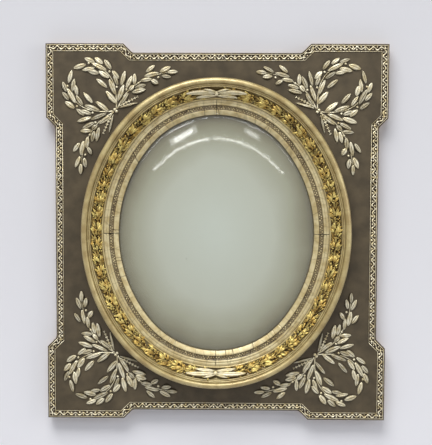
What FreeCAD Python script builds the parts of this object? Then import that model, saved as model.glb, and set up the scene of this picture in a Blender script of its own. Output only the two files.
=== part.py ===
import FreeCAD, Part
import math
import os
import Sketcher

# An oval picture frame for the wall: a flat painted plate with eared corners,
# a raised gilt oval moulding, a domed glass, and the joiner's work behind it.
# X is to the right, Z is up, and the front looks along -Y. The origin is at the
# centre of the plane that bears on the wall, so depth towards the front is -Y.

os.makedirs("parts", exist_ok=True)
doc = FreeCAD.newDocument("OvalFrame")

# Driving sizes in millimetres
SIZES = [
    ("plate_width", 600, "plate across the ears"),
    ("plate_height", 665, "plate over the ears"),
    ("plate_thickness", 14, "boards of the plate"),
    ("ear_width", 136, "ear along the top edge"),
    ("ear_height", 129, "ear along the side edge"),
    ("step_depth", 16, "long edges set in from the ears"),
    ("step_fillet", 10, "hollow where the step meets the long edge"),
    ("stile_bite", 61.5, "stile reaches in past the side of the opening"),
    ("rail_margin", 37, "rail reaches in past the step of the ear"),
    ("batten_thickness", 8, "battens behind the plate"),
    ("batten_width", 42, "battens behind the plate"),
    ("batten_length", 500, "battens behind the plate"),
    ("batten_edge_gap", 12, "batten below the long edge of the plate"),
    ("batten_chamfer", 2, "eased ends of the battens"),
    ("sight_width", 344, "sight opening, across"),
    ("sight_height", 417, "sight opening, up and down"),
    ("glass_thickness", 2.2, "sheet of the glass"),
    ("glass_lip", 7, "flat edge of the glass under the slip"),
    ("glass_rise", 27, "dome of the glass"),
    ("glass_play", 0.5, "round the glass in the opening"),
    ("card_thickness", 2.5, "picture card behind the glass"),
    ("slip_width", 26.5, "slip seen inside the moulding"),
    ("slip_inner_rise", 3.5, "slip above the plate at the sight edge"),
    ("slip_band_rise", 7.5, "top of the sight band"),
    ("slip_outer_rise", 9.5, "slip beside the moulding"),
    ("slip_sight_band", 7, "slope of the sight band"),
    ("slip_quirk", 10.5, "flat between the two bands of the slip"),
    ("slip_play", 0.3, "between slip and moulding"),
    ("inner_bead", 4, "width of the inner bead"),
    ("inner_bead_rise", 13.5, "inner bead above the plate"),
    ("cove_width", 22.5, "width of the cove"),
    ("cove_sink", 3, "hollow of the cove below its chord"),
    ("outer_bead", 5.5, "width of the outer bead"),
    ("outer_bead_rise", 25, "outer bead above the plate"),
    ("rim_roll", 8.5, "width of the rim roll"),
    ("rim_roll_rise", 29, "rim roll above the plate"),
    ("bead_quirk", 2, "beads above the quirks beside them"),
    ("rim_undercut", 5, "moulding narrower at the plate"),
    ("garland_width", 17, "gilt garland along the cove"),
    ("garland_rise", 5.5, "garland above the cove"),
    ("tie_thickness", 1.4, "ribbon round the garland"),
    ("tie_width", 22, "ribbon along the garland"),
    ("border_inset", 2, "border strip from the plate edge"),
    ("border_width", 11.5, "border strip"),
    ("border_thickness", 0.8, "ground of the border strip"),
    ("border_rail", 1.3, "raised edges of the border strip"),
    ("border_relief", 0.9, "raised edges above their ground"),
    ("knot_bearing", 41.9, "degrees from X of the line from the arc's centre to a knot"),
    ("knot_clearance", 19.4, "knots from the moulding"),
    ("knot_radius", 4.2, "knot where two sprays cross"),
    ("knot_height", 4.4, "knot above the plate"),
    ("spray_top_margin", 11.8, "highest leaf below the border"),
    ("spray_side_margin", 18.3, "outermost leaf inside the border"),
    ("leaf_height", 3, "leaf midrib above the plate"),
    ("stem_width", 2.4, "stem of a spray"),
    ("stem_height", 2.2, "stem above the plate"),
    ("berry_radius", 2.6, "laurel berries"),
    ("berry_height", 3.4, "berries above the plate"),
    ("spray_gap", 0.6, "between two sprays of one corner"),
    ("button_length", 46, "turn button"),
    ("button_width", 12, "turn button"),
    ("button_thickness", 2.6, "turn button"),
    ("button_overlap", 12, "turn button over the backboard"),
    ("running_gap", 0.2, "under what turns"),
    ("bearing_play", 0.06, "radial play round a turning shaft"),
    ("screw_head_radius", 3.4, "screw heads"),
    ("screw_head_height", 1.4, "screw heads"),
    ("screw_shank_radius", 1.6, "screw shanks"),
    ("screw_length", 11, "screws below the head"),
    ("hanger_across", 470, "ring hangers, left to right"),
    ("hanger_rise", 19.5, "hanger hinge above the rail's lower edge"),
    ("strap_length", 44, "hanger strap below its eye"),
    ("strap_width", 11, "hanger strap"),
    ("strap_thickness", 1.1, "hanger strap"),
    ("ring_wire_radius", 1.3, "wire of the hanger ring"),
    ("ring_inner_width", 17, "clear width in the hanger ring"),
    ("screw_play", 0.1, "round a screw or its head"),
    ("overrun", 5, "cuts run past both faces"),
]

sheet = doc.addObject("Spreadsheet::Sheet", "Sizes")
for row, (alias, number, note) in enumerate(SIZES, 1):
    sheet.set(f"A{row}", note)
    sheet.set(f"B{row}", str(number))
    sheet.setAlias(f"B{row}", alias)
doc.recompute()

# Sizes that follow from the driving ones. The oval is the joiner's four-centre
# oval: the corner of its half axes is joined to their ends by a diagonal, and the
# arcs' centres lie on the upright through the middle of what is left of it.
FOLLOWING = [
    ("half_width", "Sizes.plate_width / 2"),
    ("half_height", "Sizes.plate_height / 2"),
    ("sight_x", "Sizes.sight_width / 2"),
    ("sight_z", "Sizes.sight_height / 2"),
    ("diagonal", "sqrt(Layout.sight_x ^ 2 + Layout.sight_z ^ 2)"),
    ("remainder", "(Layout.diagonal - Layout.sight_z + Layout.sight_x) / 2"),
    ("end_radius", "Layout.remainder * Layout.diagonal / Layout.sight_z"),
    ("side_radius", "(Layout.diagonal - Layout.remainder) * Layout.diagonal / Layout.sight_x"),
    ("side_centre", "Layout.sight_x - Layout.side_radius"),
    ("end_centre", "Layout.sight_z - Layout.end_radius"),
    ("side_angle", "atan2(Layout.end_centre; -Layout.side_centre) / 1 deg"),
    ("end_angle", "90 - Layout.side_angle"),
    ("plate_back", "Sizes.batten_thickness"),
    ("plate_middle", "Layout.plate_back + Sizes.plate_thickness / 2"),
    ("plate_front", "Layout.plate_back + Sizes.plate_thickness"),
    ("glass_back", "Layout.plate_front - Sizes.glass_thickness"),
    ("card_back", "Layout.glass_back - Sizes.card_thickness"),
    ("opening_offset", "Sizes.glass_lip + Sizes.glass_play"),
    ("board_inner_x", "Layout.sight_x + Layout.opening_offset - Sizes.stile_bite"),
    ("board_inner_z", "Layout.half_height - Sizes.ear_height - Sizes.step_depth - Sizes.rail_margin"),
    ("moulding_inner", "Sizes.slip_width"),
    ("cove_inner", "Layout.moulding_inner + Sizes.inner_bead"),
    ("cove_outer", "Layout.cove_inner + Sizes.cove_width"),
    ("roll_inner", "Layout.cove_outer + Sizes.outer_bead"),
    ("roll_outer", "Layout.roll_inner + Sizes.rim_roll"),
]
layout = doc.addObject("App::VarSet", "Layout")
for name, formula in FOLLOWING:
    layout.addProperty("App::PropertyFloat", name, "Following")
    layout.setExpression(name, formula)
    doc.recompute()


def number(text):
    """Value of an expression over the sheet and the layout."""
    return float(layout.evalExpression(text))


def size(alias):
    """Value of one driving size."""
    return float(sheet.get(alias))


# Places on a section are given as (offset outwards from the sight edge, rise above
# the plate).

def section(*places):
    """Section corners as expressions of offset and of depth from the wall."""
    return [(f"({offset})", f"(Layout.plate_front + ({rise}))") for offset, rise in places]


BEAD_CREST_SHARE = 0.5
COVE_LOW_SHARE = 0.45
ROLL_SHOULDER_SHARE = 0.25
ROLL_DROP_SHARE = 0.35
COVE_LOW = (f"Layout.cove_inner + Sizes.cove_width * {COVE_LOW_SHARE}",
            "(Sizes.inner_bead_rise + Sizes.outer_bead_rise) / 2 - Sizes.bead_quirk - Sizes.cove_sink")
COVE_START = ("Layout.cove_inner", "Sizes.inner_bead_rise - Sizes.bead_quirk")
COVE_END = ("Layout.cove_outer", "Sizes.outer_bead_rise - Sizes.bead_quirk")


def between(first, second, share):
    """Place a share of the way from one section place to another."""
    return tuple(f"({a}) + (({b}) - ({a})) * {share}" for a, b in zip(first, second))


def bead_corners(inner, width, top, drop):
    """Two slopes over a bead that starts at an offset."""
    return [
        (inner, f"{top} - {drop}"),
        (f"{inner} + {width} * {BEAD_CREST_SHARE}", top),
        (f"{inner} + {width}", f"{top} - {drop}"),
    ]


# Building blocks

def origin_plane(body, role):
    """Origin plane of a body, found by its role."""
    for feature in body.Origin.OriginFeatures:
        if feature.Role == role:
            return feature
    raise RuntimeError("no plane " + role)


def new_body(label):
    """Body that makes one piece."""
    body = doc.addObject("PartDesign::Body", label)
    body.Label = label
    return body


def new_sketch(body, role, depth="0"):
    """Sketch on one of the body's origin planes, set forward by a depth."""
    sketch = body.newObject("Sketcher::SketchObject", "Sketch")
    sketch.AttachmentSupport = [(origin_plane(body, role), "")]
    sketch.MapMode = "FlatFace"
    if depth != "0":
        sketch.setExpression("AttachmentOffset.Base.z", depth)
    return sketch


def pin(sketch, kind, line, text):
    """Hold a line's start from the sketch's origin by an expression."""
    index = sketch.addConstraint(Sketcher.Constraint(kind, -1, 1, line, 1, number(text)))
    sketch.setExpression(f"Constraints[{index}]", text)


def polygon(sketch, corners):
    """Closed outline whose every corner is placed by two expressions."""
    points = [FreeCAD.Vector(number(x), number(y), 0) for x, y in corners]
    first = sketch.GeometryCount
    count = len(points)
    sketch.addGeometry([Part.LineSegment(points[i], points[(i + 1) % count]) for i in range(count)])
    for i in range(count):
        sketch.addConstraint(Sketcher.Constraint("Coincident", first + i, 2, first + (i + 1) % count, 1))
    for i, (x, y) in enumerate(corners):
        pin(sketch, "DistanceX", first + i, x)
        pin(sketch, "DistanceY", first + i, y)


def axis_line(sketch, start, end):
    """Construction line that serves as the axis of a revolution."""
    ends = [FreeCAD.Vector(number(x), number(y), 0) for x, y in (start, end)]
    line = sketch.addGeometry(Part.LineSegment(ends[0], ends[1]), True)
    for position, (x, y) in ((1, start), (2, end)):
        for kind, text in (("DistanceX", x), ("DistanceY", y)):
            index = sketch.addConstraint(Sketcher.Constraint(kind, -1, 1, line, position, number(text)))
            sketch.setExpression(f"Constraints[{index}]", text)


def rectangle(low_x, high_x, low_y, high_y):
    """Corners of a rectangle."""
    return [(low_x, low_y), (high_x, low_y), (high_x, high_y), (low_x, high_y)]


def pad(body, outlines, depth, thickness):
    """Outlines seen from the front, set at a depth and padded forwards."""
    sketch = new_sketch(body, "XZ_Plane", depth)
    for corners in outlines:
        polygon(sketch, corners)
    feature = body.newObject("PartDesign::Pad", "Pad")
    feature.Profile = sketch
    feature.setExpression("Length", thickness)
    sketch.Visibility = False
    doc.recompute()
    return feature


def turned(body, role, corners, axis_start, axis_end, angle, both_ways, reverse=False):
    """Section turned about an arc's centre line."""
    sketch = new_sketch(body, role)
    polygon(sketch, corners)
    axis_line(sketch, axis_start, axis_end)
    feature = body.newObject("PartDesign::Revolution", "Revolution")
    feature.Profile = sketch
    feature.ReferenceAxis = (sketch, ["Axis0"])
    feature.Midplane = both_ways
    feature.Reversed = reverse
    feature.setExpression("Angle", angle)
    doc.recompute()
    return feature


def mirrored(body, feature, role):
    """Feature repeated across one of the body's origin planes."""
    copy = body.newObject("PartDesign::Mirrored", "Mirrored")
    copy.Originals = [feature]
    copy.MirrorPlane = (origin_plane(body, role), [""])
    body.Tip = copy
    doc.recompute()
    return copy


def side_sector(body, corners, angle, both_ways, reverse=False):
    """Section carried round the long arc on the right."""
    places = [(f"Layout.sight_x + {offset}", f"-{depth}") for offset, depth in corners]
    start = ("Layout.side_centre", "0")
    end = ("Layout.side_centre", "-Layout.plate_front")
    return turned(body, "XY_Plane", places, start, end, angle, both_ways, reverse)


def end_sector(body, corners, angle, both_ways, reverse=False):
    """Section carried round the short arc at the top."""
    places = [(f"-{depth}", f"Layout.sight_z + {offset}") for offset, depth in corners]
    start = ("0", "Layout.end_centre")
    end = ("-Layout.plate_front", "Layout.end_centre")
    return turned(body, "YZ_Plane", places, start, end, angle, both_ways, reverse)


def oval_ring(label, corners):
    """Section carried all round the four-centre oval."""
    body = new_body(label)
    side = side_sector(body, corners, "2 * Layout.side_angle", True)
    end = end_sector(body, corners, "2 * Layout.end_angle", True)
    mirrored(body, side, "YZ_Plane")
    mirrored(body, end, "XY_Plane")
    return body


def oval_disc(label, offset, low_depth, high_depth):
    """Flat oval whose edge lies at an offset from the sight edge."""
    body = new_body(label)
    to_side = rectangle("-Layout.side_radius", f"({offset})", f"({low_depth})", f"({high_depth})")
    to_end = rectangle("-Layout.end_radius", f"({offset})", f"({low_depth})", f"({high_depth})")
    side = side_sector(body, to_side, "2 * Layout.side_angle", True)
    end = end_sector(body, to_end, "2 * Layout.end_angle", True)
    mirrored(body, side, "YZ_Plane")
    mirrored(body, end, "XY_Plane")
    return body


def mirror_image(source, label, normal, base=(0, 0, 0)):
    """Piece that is the mirror image of another."""
    image = doc.addObject("Part::Mirroring", label)
    image.Label = label
    image.Source = source
    image.Normal = FreeCAD.Vector(*normal)
    image.Base = FreeCAD.Vector(*base)
    doc.recompute()
    return image


def cut(label, base, tool):
    """Piece left when a tool is taken from a base."""
    piece = doc.addObject("Part::Cut", label)
    piece.Label = label
    piece.Base = base
    piece.Tool = tool
    doc.recompute()
    return piece


def polyhedron(points, faces):
    """Solid with flat faces, given by corner numbers."""
    sheets = [Part.Face(Part.makePolygon([points[i] for i in face] + [points[face[0]]])) for face in faces]
    solid = Part.Solid(Part.Shell(sheets))
    if solid.Volume < 0:
        solid.reverse()
    return solid


def shaped(label, shape):
    """Piece whose shape is worked out from the sheet."""
    piece = doc.addObject("Part::Feature", label)
    piece.Label = label
    piece.Shape = shape
    return piece


def prism(centre, radius, far_radius, height, sides, axis):
    """Many-sided prism or frustum from a centre along an axis."""
    turn = FreeCAD.Rotation(FreeCAD.Vector(0, 0, 1), axis)
    points = []
    for level, reach in ((0, radius), (height, far_radius)):
        for i in range(sides):
            angle = 2 * math.pi * i / sides
            corner = FreeCAD.Vector(math.cos(angle) * reach, math.sin(angle) * reach, level)
            points.append(centre + turn.multVec(corner))
    faces = [tuple(range(sides)), tuple(range(2 * sides - 1, sides - 1, -1))]
    faces += [(i, (i + 1) % sides, sides + (i + 1) % sides, sides + i) for i in range(sides)]
    return polyhedron(points, faces)


NEAR = 1e-3
ACROSS = (1, 0, 0)
UPRIGHT = (0, 0, 1)
nodes = {}


def keep(piece):
    """Note a finished piece under its node name."""
    nodes[piece.Label] = piece
    return piece


# Outline of the plate and of its border, seen from the front

def ear_corners(inset, sign_x="", sign_z=""):
    """Five corners of one ear, from the top edge round to the side edge, at an inset."""
    slide = f"({inset}) * tan(22.5)"
    x_out = f"(Layout.half_width - ({inset}))"
    z_out = f"(Layout.half_height - ({inset}))"
    ear_x = f"(Layout.half_width - Sizes.ear_width + {slide})"
    ear_z = f"(Layout.half_height - Sizes.ear_height + {slide})"
    places = [
        (f"({ear_x} - Sizes.step_depth)", f"({z_out} - Sizes.step_depth)"),
        (ear_x, z_out),
        (x_out, z_out),
        (x_out, ear_z),
        (f"({x_out} - Sizes.step_depth)", f"({ear_z} - Sizes.step_depth)"),
    ]
    return [(f"{sign_x}{x}", f"{sign_z}{z}") for x, z in places]


def edge_names(shape, wanted):
    """Names of the edges whose two ends pass a test."""
    names = []
    for index, edge in enumerate(shape.Edges, 1):
        if wanted(edge.firstVertex().Point, edge.lastVertex().Point):
            names.append(f"Edge{index}")
    return names


def hollow_edges(shape):
    """Names of the edges, front to back, where a step meets a long edge."""
    first, *_, last = ear_corners("0")
    places = [(number(x), number(z)) for x, z in (first, last)]

    def wanted(start, end):
        through = abs(start.x - end.x) < NEAR and abs(start.z - end.z) < NEAR
        misses = [max(abs(abs(start.x) - x), abs(abs(start.z) - z)) for x, z in places]
        return through and min(misses) < NEAR

    return edge_names(shape, wanted)


def fillet_steps(body, base):
    """Hollow the corners where the steps meet the long edges."""
    fillet = body.newObject("PartDesign::Fillet", "StepHollow")
    fillet.Base = (base, hollow_edges(base.Shape))
    fillet.setExpression("Radius", "Sizes.step_fillet")
    body.Tip = fillet
    doc.recompute()


def half_laps(body, full_outline, middle_outline, full_depth, middle_depth):
    """Board in two layers: one runs through the corner laps and one stops at them."""
    half = "Sizes.plate_thickness / 2"
    pad(body, [middle_outline], middle_depth, half)
    through = pad(body, [full_outline], full_depth, half)
    fillet_steps(body, through)


def plate_boards():
    """Two rails and two stiles, half lapped at the corners and cut by the oval opening."""
    core = oval_disc("opening_core", "Layout.opening_offset", "Layout.plate_back - Sizes.overrun",
                     "Layout.plate_front + Sizes.overrun")
    edge_x = "(Layout.half_width - Sizes.step_depth)"
    edge_z = "(Layout.half_height - Sizes.step_depth)"

    rail = new_body("top_rail_board")
    right = ear_corners("0")
    left = [(f"-{x}", z) for x, z in reversed(right)]
    feet = [(edge_x, "Layout.board_inner_z"), (f"-{edge_x}", "Layout.board_inner_z")]
    middle = rectangle("-Layout.board_inner_x", "Layout.board_inner_x", "Layout.board_inner_z", edge_z)
    half_laps(rail, right + feet + left, middle, "Layout.plate_middle", "Layout.plate_back")
    top = keep(cut("plate_top_rail", rail, core))
    keep(mirror_image(top, "plate_bottom_rail", UPRIGHT))

    stile = new_body("right_stile_board")
    lower = [(x, f"-{z}") for x, z in reversed(right)]
    inner = [("Layout.board_inner_x", f"-{edge_z}"), ("Layout.board_inner_x", edge_z)]
    middle = rectangle("Layout.board_inner_x", edge_x, "-Layout.board_inner_z", "Layout.board_inner_z")
    half_laps(stile, right + lower + inner, middle, "Layout.plate_back", "Layout.plate_middle")
    side = keep(cut("plate_right_stile", stile, core))
    keep(mirror_image(side, "plate_left_stile", ACROSS))


def battens():
    """Two battens that keep the plate flat and bear on the wall."""
    body = new_body("top_batten_bar")
    low = "(Layout.half_height - Sizes.step_depth - Sizes.batten_edge_gap - Sizes.batten_width)"
    outline = rectangle("-Sizes.batten_length / 2", "Sizes.batten_length / 2", low,
                        f"({low} + Sizes.batten_width)")
    base = pad(body, [outline], "0", "Sizes.batten_thickness")

    def wanted(start, end):
        on_wall = abs(start.y) < NEAR and abs(end.y) < NEAR
        return on_wall and abs(start.x - end.x) < NEAR

    chamfer = body.newObject("PartDesign::Chamfer", "EasedEnds")
    chamfer.Base = (base, edge_names(base.Shape, wanted))
    chamfer.setExpression("Size", "Sizes.batten_chamfer")
    body.Tip = chamfer
    doc.recompute()
    wide = size("screw_head_radius") + size("screw_play")
    seats = [prism(place, wide, wide, size("batten_thickness"), SCREW_SIDES, FreeCAD.Vector(0, 1, 0))
             for place in batten_screw_places() if place.z > 0]
    top = keep(cut("top_batten", body, shaped("batten_screw_seats", Part.makeCompound(seats))))
    keep(mirror_image(top, "bottom_batten", UPRIGHT))


def moulding():
    """Raised oval moulding: inner bead, cove, outer bead and rim roll."""
    corners = [("Layout.moulding_inner", "0")]
    corners += bead_corners("Layout.moulding_inner", "Sizes.inner_bead", "Sizes.inner_bead_rise",
                            "Sizes.bead_quirk")
    corners += [COVE_LOW]
    corners += bead_corners("Layout.cove_outer", "Sizes.outer_bead", "Sizes.outer_bead_rise",
                            "Sizes.bead_quirk")
    corners += [
        (f"Layout.roll_inner + Sizes.rim_roll * {ROLL_SHOULDER_SHARE}", "Sizes.rim_roll_rise"),
        (f"Layout.roll_outer - Sizes.rim_roll * {ROLL_SHOULDER_SHARE}", "Sizes.rim_roll_rise"),
        ("Layout.roll_outer", f"Sizes.rim_roll_rise - Sizes.rim_roll * {ROLL_DROP_SHARE}"),
        ("Layout.roll_outer - Sizes.rim_undercut", "0"),
    ]
    keep(oval_ring("oval_moulding", section(*corners)))


def slip():
    """Gilt slip in four quarters that meet on the centre lines."""
    outer = "(Sizes.slip_width - Sizes.slip_play)"
    corners = section(
        ("0", "0"),
        ("0", "Sizes.slip_inner_rise"),
        ("Sizes.slip_sight_band", "Sizes.slip_band_rise"),
        ("Sizes.slip_sight_band + Sizes.slip_quirk", "Sizes.slip_band_rise"),
        (outer, "Sizes.slip_outer_rise"),
        (outer, "0"),
    )
    body = new_body("slip_upper_right")
    side_sector(body, corners, "Layout.side_angle", False)
    end_sector(body, corners, "Layout.end_angle", False, True)
    keep(body)
    keep(mirror_image(body, "slip_upper_left", ACROSS))
    lower = keep(mirror_image(body, "slip_lower_right", UPRIGHT))
    keep(mirror_image(lower, "slip_lower_left", ACROSS))


GARLAND_START_SHARE = 0.3
GARLAND_END_SHARE = 0.75
GARLAND_INNER_SHARE = 0.12
GARLAND_OUTER_SHARE = 0.2
GARLAND_LEVEL_SHARE = 0.45


def garland():
    """Gilt garland in two halves that meet under ribbons at the top and the bottom."""
    foot_in = between(COVE_START, COVE_LOW, GARLAND_START_SHARE)
    foot_out = between(COVE_LOW, COVE_END, GARLAND_END_SHARE)
    top_in = (f"{foot_in[0]} + Sizes.garland_width * {GARLAND_INNER_SHARE}",
              f"{foot_in[1]} + Sizes.garland_rise")
    top_out = (f"{foot_out[0]} - Sizes.garland_width * {GARLAND_OUTER_SHARE}",
               f"{foot_out[1]} + Sizes.garland_rise * {GARLAND_LEVEL_SHARE}")
    corners = section(foot_in, COVE_LOW, foot_out, top_out, top_in)
    body = new_body("garland_right")
    side_sector(body, corners, "2 * Layout.side_angle", True)
    end = end_sector(body, corners, "Layout.end_angle", False, True)
    mirrored(body, end, "XY_Plane")
    keep(body)
    keep(mirror_image(body, "garland_left", ACROSS))

    proud_in = (top_in[0], top_in[1] + " + Sizes.tie_thickness")
    proud_out = (top_out[0], top_out[1] + " + Sizes.tie_thickness")
    tie = new_body("garland_top_tie")
    band = section(foot_in, top_in, top_out, foot_out, proud_out, proud_in)
    angle = "Sizes.tie_width / (Layout.end_radius + Layout.cove_inner) * 180 / pi"
    end_sector(tie, band, angle, True)
    keep(tie)
    keep(mirror_image(tie, "garland_bottom_tie", UPRIGHT))


def oval_point(turn, offset, depth):
    """Point whose outward normal makes an angle with X, at an offset from the sight edge."""
    x, z = math.cos(turn), math.sin(turn)
    corner = math.radians(layout.side_angle)
    on_side = abs(z) <= math.sin(corner)
    radius = (layout.side_radius if on_side else layout.end_radius) + offset
    centre_x = math.copysign(layout.side_centre, x) * math.copysign(1, layout.side_centre) if on_side else 0
    centre_z = 0 if on_side else math.copysign(layout.end_centre, z)
    return FreeCAD.Vector(centre_x + radius * x, -depth, centre_z + radius * z)


DOME_RING_SHARES = (1, 0.8, 0.45)
DOME_SIDES = 40


def glass_dome():
    """Sheet of glass in facets: a flat lip, then a dome whose rise falls off with the
    square of the share of the way from the middle to the sight edge."""
    turns = [2 * math.pi * i / DOME_SIDES for i in range(DOME_SIDES)]
    points = []
    for depth in (layout.plate_front, layout.glass_back):
        points += [oval_point(turn, size("glass_lip"), depth) for turn in turns]
        for share in DOME_RING_SHARES:
            place = [oval_point(turn, 0, 0) * share for turn in turns]
            rise = size("glass_rise") * (1 - share ** 2)
            points += [FreeCAD.Vector(point.x, -depth - rise, point.z) for point in place]
        points.append(FreeCAD.Vector(0, -depth - size("glass_rise"), 0))
    rings = len(DOME_RING_SHARES) + 1
    layer = rings * DOME_SIDES + 1
    faces = []
    for i in range(DOME_SIDES):
        j = (i + 1) % DOME_SIDES
        for first, flip in ((0, 1), (layer, -1)):
            for ring in range(rings - 1):
                a, b = first + ring * DOME_SIDES, first + (ring + 1) * DOME_SIDES
                faces += [(a + i, a + j, b + j)[::flip], (a + i, b + j, b + i)[::flip]]
            last = first + (rings - 1) * DOME_SIDES
            faces.append((last + i, last + j, first + layer - 1)[::flip])
        faces += [(i, layer + i, layer + j), (i, layer + j, j)]
    return polyhedron(points, faces)


def glazing():
    """Domed glass with a flat lip, the picture card and the backboard behind it."""
    keep(shaped("convex_glass", glass_dome()))
    keep(oval_disc("picture_card", "Sizes.glass_lip", "Layout.card_back", "Layout.glass_back"))
    keep(oval_disc("backboard", "Sizes.glass_lip", "Layout.plate_back", "Layout.card_back"))


def border():
    """Gilt border strip: four long lengths and four ear pieces, mitred where they meet."""
    outer = "Sizes.border_inset"
    inner = "Sizes.border_inset + Sizes.border_width"
    lanes = [(outer, inner)]
    rails = [(outer, f"{outer} + Sizes.border_rail"), (f"{inner} - Sizes.border_rail", inner)]

    def strip(body, outline):
        pad(body, [outline(a, b) for a, b in lanes], "Layout.plate_front", "Sizes.border_thickness")
        pad(body, [outline(a, b) for a, b in rails], "Layout.plate_front + Sizes.border_thickness",
            "Sizes.border_relief")

    def top_outline(a, b):
        near, far = ear_corners(a)[0], ear_corners(b)[0]
        return [near, far, (f"-{far[0]}", far[1]), (f"-{near[0]}", near[1])]

    def side_outline(a, b):
        near, far = ear_corners(a)[4], ear_corners(b)[4]
        return [near, far, (far[0], f"-{far[1]}"), (near[0], f"-{near[1]}")]

    def ear_outline(a, b):
        return ear_corners(a) + list(reversed(ear_corners(b)))

    top = new_body("border_top")
    strip(top, top_outline)
    keep(top)
    keep(mirror_image(top, "border_bottom", UPRIGHT))
    side = new_body("border_right")
    strip(side, side_outline)
    keep(side)
    keep(mirror_image(side, "border_left", ACROSS))
    ear = new_body("border_upper_right_ear")
    strip(ear, ear_outline)
    keep(ear)
    keep(mirror_image(ear, "border_upper_left_ear", ACROSS))
    lower = keep(mirror_image(ear, "border_lower_right_ear", UPRIGHT))
    keep(mirror_image(lower, "border_lower_left_ear", ACROSS))


# Laurel sprays. Places are shares of the spray's reach from the knot, x towards the
# middle of the frame's top edge and y up, for the high spray of the upper left corner.
# Each leaf is given from its base to its tip.

WREATH_LEAF_SHARES = [
    ((0.02, 0.11), (-0.15, 0.31)), ((0.00, 0.25), (-0.11, 0.50)), ((-0.13, 0.37), (-0.31, 0.51)),
    ((0.05, 0.47), (-0.04, 0.65)), ((-0.07, 0.67), (-0.18, 0.82)), ((-0.17, 0.55), (-0.39, 0.62)),
    ((-0.21, 0.76), (-0.36, 0.86)), ((-0.37, 0.72), (-0.56, 0.66)), ((-0.49, 0.76), (-0.69, 0.73)),
]
OUTER_LEAF_SHARES = [
    ((0.03, 0.15), (0.13, 0.41)), ((0.15, 0.36), (0.21, 0.60)), ((0.31, 0.41), (0.36, 0.62)),
    ((0.26, 0.29), (0.49, 0.35)), ((0.41, 0.49), (0.64, 0.49)), ((0.50, 0.60), (0.67, 0.71)),
    ((0.72, 0.63), (0.90, 0.72)), ((0.80, 0.59), (1.02, 0.60)), ((0.08, 0.09), (0.36, 0.20)),
]
WREATH_STEM_SHARES = [(0.045, 0.06), (0.00, 0.25), (-0.03, 0.50), (-0.20, 0.68), (-0.50, 0.76)]
OUTER_STEM_SHARES = [(0.045, 0.06), (0.10, 0.24), (0.28, 0.43), (0.55, 0.56), (0.86, 0.61)]
BERRY_SHARES = [(-0.11, 0.60), (0.00, 0.36), (0.19, 0.34), (0.67, 0.57)]
LEAF_WIDTH_SHARE = 0.2
LEAF_SHOULDER_SHARE = 0.42
STEM_TAPER_SHARE = 0.6
BERRY_SIDES = 5
KNOT_SIDES = 8


def nearest_on_stem(stem, point):
    """Point of a stem's line that lies nearest to a leaf's base."""
    best = None
    for start, end in zip(stem[:-1], stem[1:]):
        run = end - start
        share = max(0.0, min(1.0, (point - start).dot(run) / run.dot(run)))
        place = start + run * share
        if best is None or (place - point).Length < (best - point).Length:
            best = place
    return best


def leaf(stalk, base, tip):
    """Pointed leaf with a raised midrib, drawn out to its stalk, flat below."""
    run = tip - base
    across = FreeCAD.Vector(-run.z, 0, run.x) * LEAF_WIDTH_SHARE
    middle = base + run * LEAF_SHOULDER_SHARE
    ridge = middle + FreeCAD.Vector(0, -size("leaf_height"), 0)
    points = [stalk, middle + across, tip, middle - across, ridge]
    return polyhedron(points, [(0, 1, 2, 3), (0, 4, 1), (1, 4, 2), (2, 4, 3), (3, 4, 0)])


def stem(places):
    """Tapering stem with a ridge, flat below."""
    count = len(places)
    points = []
    for i, place in enumerate(places):
        run = (places[min(i + 1, count - 1)] - places[max(i - 1, 0)])
        run.normalize()
        taper = 1 - STEM_TAPER_SHARE * i / (count - 1)
        across = FreeCAD.Vector(-run.z, 0, run.x) * (size("stem_width") / 2 * taper)
        ridge = place + FreeCAD.Vector(0, -size("stem_height") * taper, 0)
        points += [place + across, ridge, place - across]
    faces = [(0, 1, 2), tuple(3 * (count - 1) + i for i in (2, 1, 0))]
    for i in range(count - 1):
        a, b = 3 * i, 3 * (i + 1)
        faces += [(a, b, a + 1), (b, b + 1, a + 1), (a + 1, b + 1, b + 2), (a + 1, b + 2, a + 2)]
        faces += [(a, a + 2, b + 2), (a, b + 2, b)]
    return polyhedron(points, faces)


def berry(place):
    """Low pointed berry, flat below."""
    radius = size("berry_radius")
    turns = [2 * math.pi * i / BERRY_SIDES for i in range(BERRY_SIDES)]
    ring = [place + FreeCAD.Vector(math.cos(turn), 0, math.sin(turn)) * radius for turn in turns]
    peak = place + FreeCAD.Vector(0, -size("berry_height"), 0)
    faces = [tuple(range(BERRY_SIDES))]
    faces += [(i, BERRY_SIDES, (i + 1) % BERRY_SIDES) for i in range(BERRY_SIDES)]
    return polyhedron(ring + [peak], faces)


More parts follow.
